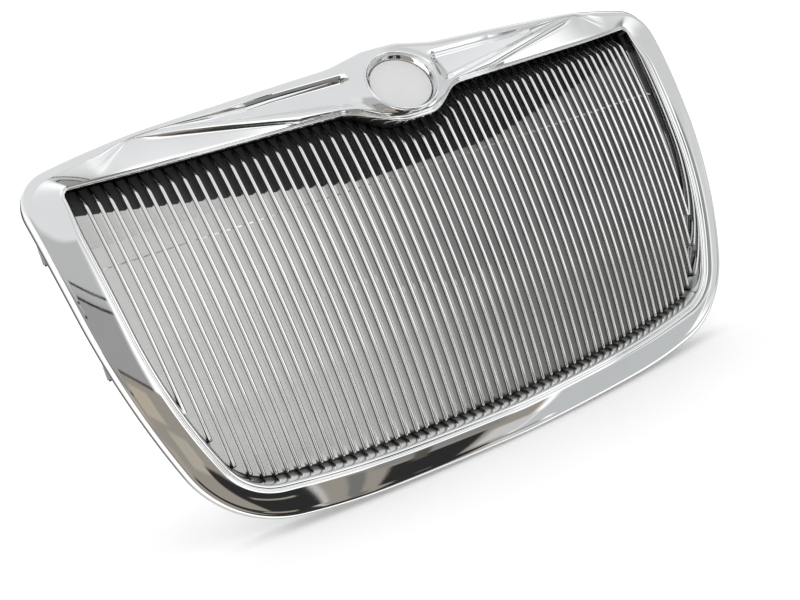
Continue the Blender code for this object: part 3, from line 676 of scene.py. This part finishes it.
def bar_vertices(nominal_x, low, high, ends_on_side):
    """Rows of points round one bar, from its lower root to its upper root."""
    lower = low + 0.040 * np.linspace(0, 1, 22) ** 1.3
    upper = high - 0.055 * np.linspace(1, 0, 30) ** 1.3
    middle = np.linspace(lower[-1], upper[0], 14)[1:-1]
    z = np.concatenate([[low - ROOT], lower, middle, upper, [high + ROOT]])
    inside = np.clip(z, low, high)
    rear = INSERT_FLANGE[0] - KNEE_PROUD
    sunk = INSERT_FLANGE[0] + ROOT_SUNK
    front = knee_depth(high - inside, BAR_KNEE_TOP, BAR_FRONT, rear, 0.0011)
    if ends_on_side:
        z[0] = low - SIDE_BURY
    else:
        front = np.maximum(front, knee_depth(inside - low, BAR_KNEE_BOTTOM, BAR_FRONT, rear, 0.0008))
        front[0] = sunk
    front = np.minimum(front, sunk)
    front[-1] = sunk
    x = nominal_x * (1 + BAR_FAN * z)
    y = base_y(x, z)
    share = (front - BAR_FRONT) / (BAR_BACK - BAR_FRONT)
    half_nose = mix(BAR_NOSE, BAR_TAIL, share) / 2
    half_tail = BAR_TAIL / 2
    nose = []
    for angle in np.radians(np.linspace(-90, 90, NOSE_POINTS)):
        nose.append((half_nose * np.sin(angle), front + half_nose * (1 - np.cos(angle)) * NOSE_ROUND))
    flank = []
    for part in (0.25, 0.5, 0.75):
        depth = mix(front + half_nose * NOSE_ROUND, BAR_BACK - TAIL_EDGE, part)
        flank.append((mix(half_nose, half_tail, part), depth))
    tail = half_tail * np.ones_like(front)
    flank.append((tail, np.full_like(front, BAR_BACK - TAIL_EDGE)))
    flank.append((tail * TAIL_FLAT, np.full_like(front, BAR_BACK)))
    other_flank = [(-across, depth) for across, depth in reversed(flank)]
    around = nose + flank + other_flank
    return np.stack([np.stack([x + across, y + depth, z], axis=-1) for across, depth in around], axis=1)


def ring_flange():
    """The insert's perimeter flange, as a closed loop of five-sided sections."""
    inner, normal = INNER_LINE.at(station_lengths()[::4][:, 0])
    front, rear = INSERT_FLANGE
    rows = []
    chamfer = (0.012, front + 0.0006)
    for distance, depth in ((-0.001, front), (0.0115, front), chamfer, (0.012, rear), (-0.001, rear)):
        x, z = (inner + normal * distance).T
        rows.append(np.stack([x, base_y(x, z) + depth, z], axis=-1))
    return mirrored(np.stack(rows, axis=1))


def cross_rib():
    """The rib behind the bars, as open-ended rectangular sections from side to side."""
    half_length = INNER_LINE.side_x(RIB_Z) + 0.0015
    x = np.linspace(-half_length, half_length, 60)
    y = base_y(x, RIB_Z) + BAR_BACK
    rows = []
    for back, side in ((RIB_FRONT, -1), (RIB_FRONT, 1), (RIB_REAR, 1), (RIB_REAR, -1)):
        rows.append(np.stack([x, y + back, np.full_like(x, RIB_Z + side * RIB_HALF)], axis=-1))
    return np.stack(rows, axis=1)


def bar_painted_shade(block, low, high, ends_on_side):
    """Painted shade of one bar's vertices: on its flanks where it bends back, on its foot and beside its
    nose.
    """
    z = block[..., 2]
    nose_back = block[:, NOSE_POINTS // 2, 1] - base_y(block[:, NOSE_POINTS // 2, 0], z[:, 0])
    bar_shade = np.repeat(smooth(nose_back, *BENT_BACK)[:, None], block.shape[1], axis=1)
    bar_shade[:, :NOSE_POINTS] = 0.0
    if not ends_on_side:
        foot = smooth(z, low + FOOT_TALL, low + FOOT_TALL * 0.4)
        foot[:, :NOSE_POINTS] *= 0.15
        bar_shade = np.maximum(bar_shade, foot)
    straight = smooth(nose_back, 0.012, BENT_BACK[0])
    for column, shade_share in NOSE_SHADOW:
        bar_shade[:, column] = np.maximum(bar_shade[:, column], shade_share * straight)
    return bar_shade.ravel()


def build_bars(polished, satin):
    """Bars, flange and rib in one mesh; the bars' noses are polished, the rest is satin."""
    vertices = []
    faces = []
    slots = []
    painted_shade = []
    first = 0
    for index in range(BAR_COUNT):
        nominal_x = (index - (BAR_COUNT - 1) / 2) * BAR_PITCH
        span = bar_span(nominal_x)
        if span is None:
            continue
        block = bar_vertices(nominal_x, *span)
        rows, columns = block.shape[:2]
        faces.extend(grid_faces(rows, columns, False, True, first))
        slots.extend([0 if column < NOSE_POINTS - 1 else 1 for column in range(columns)] * (rows - 1))
        faces.append(tuple(first + k for k in range(columns))[::-1])
        faces.append(tuple(first + (rows - 1) * columns + k for k in range(columns)))
        slots.extend([1, 1])
        vertices.append(block.reshape(-1, 3))
        first += rows * columns
        painted_shade.append(bar_painted_shade(block, *span))
    loop = ring_flange()
    faces.extend(grid_faces(loop.shape[0], loop.shape[1], True, True, first))
    vertices.append(loop.reshape(-1, 3))
    first += loop.shape[0] * loop.shape[1]
    rib = cross_rib()
    faces.extend(grid_faces(rib.shape[0], rib.shape[1], False, True, first))
    last = first + (rib.shape[0] - 1) * 4
    faces.append((first + 3, first + 2, first + 1, first))
    faces.append((last, last + 1, last + 2, last + 3))
    vertices.append(rib.reshape(-1, 3))
    slots.extend([1] * (len(faces) - len(slots)))
    bars = mesh_object("chrome_bars", np.concatenate(vertices), faces, polished)
    bars.data.materials.append(satin)
    bars.data.polygons.foreach_set("material_index", slots)
    bars.data.set_sharp_from_angle(angle=math.radians(50))
    # The insert's flange is all in painted shade; the rib has none.
    painted_shade.append(np.ones(loop.shape[0] * loop.shape[1]))
    painted_shade.append(np.zeros(rib.shape[0] * rib.shape[1]))
    mark_painted_shade(bars, np.concatenate(painted_shade))
    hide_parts("bar_insert")
    return bars


# ------------ badge

def badge_place():
    """The ring plane's own frame: its local Z points forward, out of the badge."""
    centre = Vector((0, base_y(0, BADGE_Z) - POD_RISE, BADGE_Z))
    return Matrix.Translation(centre) @ Matrix.Rotation(math.pi / 2 - BADGE_TILT, 4, "X")


def build_badge(chrome, plate):
    """The bezel ring, with its funnel wall down to the disc, and the blank disc itself."""
    place = badge_place()
    middle = (RING_OUTER + RING_INNER) / 2
    half = (RING_OUTER - RING_INNER) / 2
    ring_profile = []
    for angle in np.linspace(-0.15 * np.pi, 1.0 * np.pi, 14):
        ring_profile.append((middle + half * math.cos(angle), 0.0002 + 0.0013 * math.sin(angle)))
    wall_foot = DISC_RADIUS + 0.0009
    for share in (0.15, 0.35, 0.55, 0.75, 0.92):
        radius = mix(RING_INNER - 0.0003, wall_foot, share)
        height = mix(-0.0008, -DISC_BELOW_RIM - 0.0006, share ** 0.85)
        ring_profile.append((radius, height))
    ring_profile.append((wall_foot, -DISC_BELOW_RIM - 0.0018))
    ring_profile.append((wall_foot, -POCKET_DEPTH + 0.0004))
    ring_profile.append((RING_OUTER - 0.0022, -POCKET_DEPTH + 0.0004))
    ring_profile.append((RING_OUTER - 0.0016, -0.0060))
    ring_profile.append((RING_OUTER + 0.0002, -0.0030))
    ring = turned("badge_ring", ring_profile, place, chrome, 192)
    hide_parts("badge_bezel")

    top = -DISC_BELOW_RIM
    disc = turned("badge_plate", [
        (0.0, top + 0.0006),
        (DISC_RADIUS * 0.3, top + 0.00056),
        (DISC_RADIUS * 0.6, top + 0.0004),
        (DISC_RADIUS * 0.85, top + 0.00015),
        (DISC_RADIUS - 0.0012, top),
        (DISC_RADIUS - 0.0007, top + 0.0001),
        (DISC_RADIUS - 0.0002, top - 0.0003),
        (DISC_RADIUS, top - 0.0009),
        (DISC_RADIUS, -POCKET_DEPTH + 0.0018),
        (0.0, -POCKET_DEPTH + 0.0018),
    ], place, plate, 192)
    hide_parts("badge_disc")
    return ring, disc


# ------------ materials

class Nodes:
    """Short way to add and link shader nodes."""

    def __init__(self, tree):
        self.tree = tree
        self.tree.nodes.clear()

    def add(self, kind, **inputs):
        node = self.tree.nodes.new(kind)
        self.fill(node, **inputs)
        return node

    def fill(self, node, **inputs):
        for name, value in inputs.items():
            self.put(node.inputs[name.replace("_", " ")], value)

    def put(self, socket, value):
        """Link a socket, or set a plain value."""
        if isinstance(value, bpy.types.NodeSocket):
            self.tree.links.new(value, socket)
        else:
            socket.default_value = value

    def operate(self, kind, operation, values):
        node = self.tree.nodes.new(kind)
        node.operation = operation
        for socket, value in zip(node.inputs, values):
            self.put(socket, value)
        return node.outputs

    def math(self, operation, first, second=0.0):
        return self.operate("ShaderNodeMath", operation, (first, second))[0]

    def times(self, first, second):
        return self.math("MULTIPLY", first, second)

    def vector(self, operation, first, second=(0, 0, 0), output="Vector"):
        return self.operate("ShaderNodeVectorMath", operation, (first, second))[output]

    def degrees(self, angle):
        return self.times(angle, 180 / math.pi)

    def ramp(self, value, low, high, to_low=0.0, to_high=1.0):
        """A smooth ramp: to_low up to low, to_high beyond high."""
        node = self.add("ShaderNodeMapRange", Value=value, From_Min=low, From_Max=high,
                        To_Min=to_low, To_Max=to_high)
        node.interpolation_type = "SMOOTHSTEP"
        return node.outputs["Result"]

    def noise(self, vector, scale, detail=3.0, roughness=0.5, stretch=None):
        if stretch:
            mapping = self.add("ShaderNodeMapping", Vector=vector, Scale=stretch)
            vector = mapping.outputs["Vector"]
        node = self.add("ShaderNodeTexNoise", Vector=vector, Scale=scale, Detail=detail, Roughness=roughness)
        return node.outputs["Fac"]


def start_material(name):
    material = bpy.data.materials.new(name)
    material.use_nodes = True
    nodes = Nodes(material.node_tree)
    output = nodes.add("ShaderNodeOutputMaterial")
    shader = nodes.add("ShaderNodeBsdfPrincipled")
    material.node_tree.links.new(shader.outputs[0], output.inputs["Surface"])
    place = nodes.add("ShaderNodeTexCoord").outputs["Object"]
    return material, nodes, shader, place


def colour_mix(nodes, share, first, second):
    """Blend two colours, each a tuple or a socket."""
    node = nodes.tree.nodes.new("ShaderNodeMix")
    node.data_type = "RGBA"
    nodes.tree.links.new(share, node.inputs["Factor"])
    for socket, colour in ((node.inputs[6], first), (node.inputs[7], second)):
        nodes.put(socket, (*colour, 1) if isinstance(colour, tuple) else colour)
    return node.outputs[2]


def add_bump(nodes, shader, height, strength, distance):
    bump = nodes.add("ShaderNodeBump", Height=height, Strength=strength, Distance=distance)
    nodes.fill(shader, Normal=bump.outputs["Normal"])


def worn_edges(nodes, low, high, most):
    """0 on flat faces, 'most' on sharp outer edges."""
    pointiness = nodes.add("ShaderNodeNewGeometry").outputs["Pointiness"]
    return nodes.ramp(pointiness, low, high, 0.0, most)


# Painted shade in the chrome's recesses, standing in for shadow and dark reflections of neighbouring parts:
# its colour, and the roughness it adds there.
PAINTED_SHADE_COLOUR = (0.10, 0.10, 0.095)
PAINTED_SHADE_ROUGHENS = 0.30
EDGE_WEAR = 0.02  # roughness added on worn edges


def chrome_material(name, tint, roughness, waviness, scratch):
    """Decorative chrome: faint orange peel, hairline scratches, haze patches, and painted shade in recesses.
    """
    material, nodes, shader, place = start_material(name)
    haze = nodes.noise(place, scale=22.0, detail=4.0, roughness=0.6)
    hair = nodes.noise(place, scale=60.0, detail=2.0, stretch=(1.0, 1.0, 26.0))
    hair_lines = nodes.ramp(hair, 0.63, 0.70)
    peel = nodes.noise(place, scale=260.0, detail=2.0)
    edges = worn_edges(nodes, 0.53, 0.60, 1.0)
    rough = nodes.ramp(haze, 0.35, 0.75, roughness * 0.7, roughness * 1.6)
    rough = nodes.math("ADD", rough, nodes.times(hair_lines, scratch))
    rough = nodes.math("ADD", rough, nodes.times(edges, EDGE_WEAR))
    # Painted shade: darkens the chrome towards dark grey and roughens it where the vertices are marked.
    painted_shade = nodes.add("ShaderNodeAttribute")
    painted_shade.attribute_name = "painted_shade"
    shade_share = nodes.times(painted_shade.outputs["Fac"], nodes.ramp(haze, 0.3, 0.7, 1.0, 0.85))
    dull = tuple(channel * 0.93 for channel in tint)
    clean = colour_mix(nodes, haze, dull, tint)
    rough = nodes.math("ADD", rough, nodes.times(shade_share, PAINTED_SHADE_ROUGHENS))
    nodes.fill(shader, Metallic=1.0, Base_Color=colour_mix(nodes, shade_share, clean, PAINTED_SHADE_COLOUR), Roughness=rough)
    add_bump(nodes, shader, peel, waviness, 0.0002)
    return material


def plastic_material(name, colour, roughness, grain, sheen=0.0):
    """Moulded plastic or rubber: fine grain, mottled gloss, paler edges."""
    material, nodes, shader, place = start_material(name)
    pores = nodes.noise(place, scale=1400.0, detail=2.0)
    mottle = nodes.noise(place, scale=35.0, detail=5.0, roughness=0.6)
    edges = worn_edges(nodes, 0.52, 0.62, 0.5)
    share = nodes.math("ADD", nodes.times(mottle, 0.35), edges)
    pale = tuple(channel * 2.0 + 0.02 for channel in colour)
    rough = nodes.ramp(mottle, 0.3, 0.7, roughness * 0.85, min(1.0, roughness * 1.2))
    nodes.fill(shader, Base_Color=colour_mix(nodes, share, colour, pale), Roughness=rough, Sheen_Weight=sheen)
    add_bump(nodes, shader, pores, grain, 0.0003)
    return material


def zinc_material():
    """Zinc-plated steel: yellowish and bluish passivation, drawing lines and dull patches."""
    material, nodes, shader, place = start_material("zinc_plated_steel")
    bloom = nodes.noise(place, scale=90.0, detail=4.0, roughness=0.6)
    lines = nodes.noise(place, scale=500.0, detail=2.0, stretch=(1.0, 1.0, 14.0))
    colour = colour_mix(nodes, bloom, (0.62, 0.58, 0.45), (0.52, 0.55, 0.60))
    nodes.fill(shader, Metallic=1.0, Base_Color=colour, Roughness=nodes.ramp(lines, 0.3, 0.7, 0.24, 0.46))
    add_bump(nodes, shader, lines, 0.15, 0.0002)
    return material


def plate_material():
    """The blank badge plate: satin grey lacquer with very fine speckle and light haze."""
    material, nodes, shader, place = start_material("badge_lacquer")
    speckle = nodes.noise(place, scale=2600.0, detail=2.0)
    haze = nodes.noise(place, scale=28.0)
    nodes.fill(
        shader,
        Base_Color=colour_mix(nodes, haze, (0.60, 0.60, 0.61), (0.66, 0.66, 0.665)),
        Metallic=nodes.ramp(speckle, 0.45, 0.75, 0.25, 0.55),
        Roughness=nodes.ramp(haze, 0.3, 0.7, 0.30, 0.38),
        Coat_Weight=0.35,
        Coat_Roughness=0.12)
    add_bump(nodes, shader, speckle, 0.04, 0.0001)
    return material


def floor_material(eye):
    """Pale sweep: nearly white, faintly uneven, with painted grey shade behind the grille for a camera at
    'eye'.
    """
    material, nodes, shader, place = start_material("pale_floor")
    split = nodes.add("ShaderNodeSeparateXYZ", Vector=place)
    x, y, _ = split.outputs
    across = nodes.math("SUBTRACT", x, eye.x)
    along = nodes.math("SUBTRACT", y, eye.y)
    azimuth = nodes.degrees(nodes.math("ARCTAN2", across, along))
    squares = [nodes.times(value, value) for value in (across, along)]
    distance = nodes.math("SQRT", nodes.math("ADD", *squares))
    near = nodes.math("DIVIDE", SHADE_NEAR, distance)
    shade = shade_window(nodes, azimuth, near)
    shade = nodes.times(shade, nodes.ramp(y, *SHADE_STARTS_Y))
    sight = nodes.vector("NORMALIZE", nodes.vector("SUBTRACT", tuple(eye), place))
    incoming = nodes.add("ShaderNodeNewGeometry").outputs["Incoming"]
    aligned = nodes.vector("DOT_PRODUCT", sight, incoming, output="Value")
    shade = nodes.times(shade, nodes.ramp(aligned, *SHADE_SEEN))
    cloud = nodes.noise(place, scale=9.0, detail=5.0, roughness=0.7)
    shade = nodes.times(shade, nodes.ramp(cloud, 0.3, 0.7, 0.93, 1.0))
    nodes.fill(
        shader,
        Base_Color=colour_mix(nodes, shade, FLOOR_COLOUR, SHADE_COLOUR),
        Roughness=nodes.ramp(cloud, 0.3, 0.7, 0.5, 0.6),
        Specular_IOR_Level=0.2)
    return material


# ------------ studio

# The painted grey shade on the floor, seen between the bars, is no cast shadow.  Azimuths are degrees from +Y
# towards +X, about the main camera.
SHADE_AZIMUTH = (8.2, 40.0)  # the grille hides the shade's edges
SHADE_NEAR = 4.2  # degrees x metres: the left edge follows the grille's slant
SHADE_SOFT = 1.0
SHADE_STARTS_Y = (0.06, 0.22)
SHADE_SEEN = (0.9995, 0.9999)  # it shows only along lines of sight to the main camera
SHADE_COLOUR = (0.38, 0.38, 0.37)
FLOOR_COLOUR = (0.94, 0.94, 0.94)
FLOOR_HALF = 40.0
FLOOR_GAP = 0.0002
FAR_WALL = 2.6  # height of the floor's upturned edge, far behind the grille
ROOM_LIGHT = 1.3  # all round, for everything but reflections
GLOSS_LIGHT = (20.0, 45.0, 1.45, 0.95)  # reflected room: between two elevations, from and to

# The photograph's viewing angle, in degrees, and its frame.
CAMERA_TURN = 24.18
CAMERA_DROP = 8.02
CAMERA_ROLL = 17.31
CAMERA_DISTANCE = 1.185
CAMERA_AIM = (-0.100, 0.0, -0.066)  # from the datum
SENSOR_MM = 36.0
FOCAL_LENGTH = 1061.3  # in pixels
PICTURE_WIDTH = 800

BLACK = (0.03, 0.03, 0.03)
BROWN = (0.11, 0.10, 0.085)
BEIGE = (0.36, 0.33, 0.285)

# Soft cards round the grille, seen only in its reflections; each one covers those before it.
# Azimuth from straight ahead (-Y) towards +X and elevation, both as (low, high), the softness
# of the edges, all in degrees, and the colour.
CARDS = [
    ((-200, 200), (38, 110), 12, (0.86, 0.865, 0.87)),
    ((-200, -105), (-70, 24), 10, (0.70, 0.70, 0.68)),
    ((112, 200), (-70, 24), 7, (0.56, 0.56, 0.55)),
    ((-163, -122), (-30, 24), 8, (0.22, 0.22, 0.215)),
    ((112, 163), (-30, 24), 7, (0.22, 0.22, 0.215)),
    ((-147, -127), (-26, 20), 5, (0.06, 0.06, 0.06)),
    ((120, 146), (-26, 16), 5, (0.05, 0.05, 0.05)),
    ((-56, -19), (-14, 44), 4, (0.56, 0.56, 0.56)),
    ((-56, -19), (-14, 24), 3, (0.37, 0.37, 0.365)),
    ((-60, -20), (22.6, 23.3), 0.25, BLACK),
    ((-60, -20), (25.6, 26.2), 0.25, BLACK),
    ((-60, -10), (-85, 6.5), 0.5, BEIGE),
    ((-60, -20), (6.2, 7.2), 0.3, BROWN),
    ((-48, -30), (-4, 4), 0.6, (0.52, 0.46, 0.37)),
    ((-34, -22), (-16, -6), 1.0, (0.50, 0.45, 0.38)),
    ((-24, -7), (-85, -13), 1.0, BLACK),
    ((-19, -10), (-27, -24.5), 0.4, BEIGE),
    ((-7, 34), (-85, -17), 1.5, BEIGE),
    ((2, 26), (-24, 0), 2.0, (0.27, 0.27, 0.26)),
    ((-2, 1), (-85, -20), 0.6, (0.20, 0.20, 0.19)),
    ((5, 23), (-85, -26), 0.8, BLACK),
    ((9, 12), (-30, -18), 0.6, BROWN),
    ((25, 36), (-44, -30), 1.5, (0.66, 0.66, 0.65)),
    ((36, 75), (-85, -16), 1.2, (0.60, 0.615, 0.62)),
    ((-60, 33), (-88, -50), 3.0, (0.045, 0.045, 0.04)),
    ((68, 112), (4, 60), 6, (0.72, 0.73, 0.73)),
    ((46, 74), (-15, 14), 2.0, (0.33, 0.335, 0.335)),
    ((76, 112), (-24, 8), 4, (0.74, 0.75, 0.75)),
]


def shade_window(nodes, azimuth, slant):
    """1 between the shade's edges, 0 outside; its left edge is moved right by 'slant' degrees."""
    start = nodes.math("SUBTRACT", azimuth, slant)
    left = nodes.ramp(start, SHADE_AZIMUTH[0], SHADE_AZIMUTH[0] + SHADE_SOFT)
    right = nodes.ramp(azimuth, SHADE_AZIMUTH[1] - SHADE_SOFT, SHADE_AZIMUTH[1], 1.0, 0.0)
    return nodes.times(left, right)


def studio_world():
    """Even white light for all but reflections, which show a pale room with the cards above."""
    world = bpy.data.worlds.new("studio")
    bpy.context.scene.world = world
    world.use_nodes = True
    nodes = Nodes(world.node_tree)
    output = nodes.add("ShaderNodeOutputWorld")
    ray = nodes.add("ShaderNodeLightPath")
    direction = nodes.add("ShaderNodeTexCoord").outputs["Generated"]
    split = nodes.add("ShaderNodeSeparateXYZ", Vector=direction)
    x, y, z = split.outputs
    azimuth = nodes.degrees(nodes.math("ARCTAN2", x, nodes.times(y, -1.0)))
    elevation = nodes.degrees(nodes.math("ARCSINE", z))
    light = nodes.ramp(elevation, *GLOSS_LIGHT)
    light = nodes.add("ShaderNodeCombineColor", Red=light, Green=light, Blue=light).outputs[0]
    for azimuths, elevations, soft, colour in CARDS:
        inside = 1.0
        for value, (low, high) in ((azimuth, azimuths), (elevation, elevations)):
            inside = nodes.times(inside, nodes.ramp(value, low - soft, low + soft))
            inside = nodes.times(inside, nodes.ramp(value, high - soft, high + soft, 1.0, 0.0))
        light = colour_mix(nodes, inside, light, colour)
    glossy = nodes.add("ShaderNodeBackground", Color=light, Strength=1.0)
    plain = nodes.add("ShaderNodeBackground", Color=(1, 1, 1, 1), Strength=ROOM_LIGHT)
    choose = nodes.add("ShaderNodeMixShader", Fac=ray.outputs["Is Glossy Ray"])
    world.node_tree.links.new(plain.outputs[0], choose.inputs[1])
    world.node_tree.links.new(glossy.outputs[0], choose.inputs[2])
    world.node_tree.links.new(choose.outputs[0], output.inputs["Surface"])


def build_floor(camera):
    """A flat floor just under the grille, turned up at its far edge."""
    low = CAD_BOX[0][2] - FLOOR_GAP
    mesh = bpy.data.meshes.new("floor")
    corners = [(-FLOOR_HALF, -FLOOR_HALF, low), (FLOOR_HALF, -FLOOR_HALF, low)]
    for height in (low, low + FAR_WALL):
        corners += [(FLOOR_HALF, FLOOR_HALF, height), (-FLOOR_HALF, FLOOR_HALF, height)]
    mesh.from_pydata(corners, [], [(0, 1, 2, 3), (3, 2, 4, 5)])
    floor = bpy.data.objects.new("floor", mesh)
    bpy.context.scene.collection.objects.link(floor)
    mesh.materials.append(floor_material(camera.matrix_world.translation))
    floor.visible_glossy = False


def build_camera():
    """From the left and a little above, tipped over to the right."""
    turn, drop, roll = (math.radians(angle) for angle in (CAMERA_TURN, CAMERA_DROP, CAMERA_ROLL))
    aim = Vector(CAMERA_AIM) + Vector(DATUM)
    ahead = Vector((math.sin(turn) * math.cos(drop), math.cos(turn) * math.cos(drop), -math.sin(drop)))
    level = Vector((math.cos(turn), -math.sin(turn), 0))
    upright = level.cross(ahead)
    right = math.cos(roll) * level - math.sin(roll) * upright
    up = math.sin(roll) * level + math.cos(roll) * upright
    camera = bpy.data.objects.new("camera", bpy.data.cameras.new("camera"))
    bpy.context.scene.collection.objects.link(camera)
    camera.data.sensor_width = SENSOR_MM
    camera.data.lens = SENSOR_MM * FOCAL_LENGTH / PICTURE_WIDTH
    camera.data.clip_start = 0.02
    camera.data.clip_end = 60
    placement = Matrix((right, up, -ahead)).transposed().to_4x4()
    placement.translation = aim - ahead * CAMERA_DISTANCE
    camera.matrix_world = placement
    bpy.context.scene.camera = camera
    return camera


# ------------ assembly

def dress_cad_nodes():
    """Give every CAD node that stays in view its own finish and softened edges."""
    carrier = plastic_material("carrier_plastic", (0.040, 0.040, 0.039), roughness=0.55, grain=0.5)
    foam = plastic_material("badge_foam", (0.03, 0.03, 0.03), roughness=0.95, grain=0.9, sheen=0.2)
    nylon = plastic_material("rivet_nylon", (0.022, 0.022, 0.025), roughness=0.42, grain=0.2)
    pin = plastic_material("pin_nylon", (0.10, 0.10, 0.11), roughness=0.40, grain=0.2)
    rubber = plastic_material("bush_rubber", (0.015, 0.015, 0.015), roughness=0.75, grain=0.6, sheen=0.1)
    zinc = zinc_material()
    finishes = (                 # node name's start, material, width of the softened edge
        ("rear_carrier", carrier, 0.0004),
        ("badge_foam_pad", foam, 0.0002),
        ("badge_push_nut", zinc, 0.0001),
        ("carrier_screw", zinc, 0.0003),
        ("push_rivet_body", nylon, 0.0003),
        ("push_rivet_pin", pin, 0.0002),
        ("side_spring_clip", zinc, 0.0001),
        ("lower_bush", rubber, 0.0004),
    )
    for name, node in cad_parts.items():
        for prefix, material, edge in finishes:
            if name.startswith(prefix):
                for slot in node.material_slots:
                    slot.material = material
                bevel = node.modifiers.new("soft_edges", "BEVEL")
                bevel.width = edge
                bevel.segments = 2
                bevel.limit_method = "ANGLE"
                bevel.angle_limit = math.radians(40)


polished_chrome = chrome_material(
    "polished_chrome", (0.84, 0.845, 0.85), roughness=0.035, waviness=0.02, scratch=0.03)
satin_chrome = chrome_material(
    "satin_chrome", (0.72, 0.725, 0.71), roughness=0.16, waviness=0.05, scratch=0.06)
surround_piece = build_surround(polished_chrome)
bars_piece = build_bars(polished_chrome, satin_chrome)
ring_piece, disc_piece = build_badge(polished_chrome, plate_material())
for piece in (surround_piece, bars_piece, ring_piece, disc_piece):
    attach(piece, "grille")
dress_cad_nodes()
studio_world()
build_floor(build_camera())
bpy.context.scene.view_settings.view_transform = "Standard"
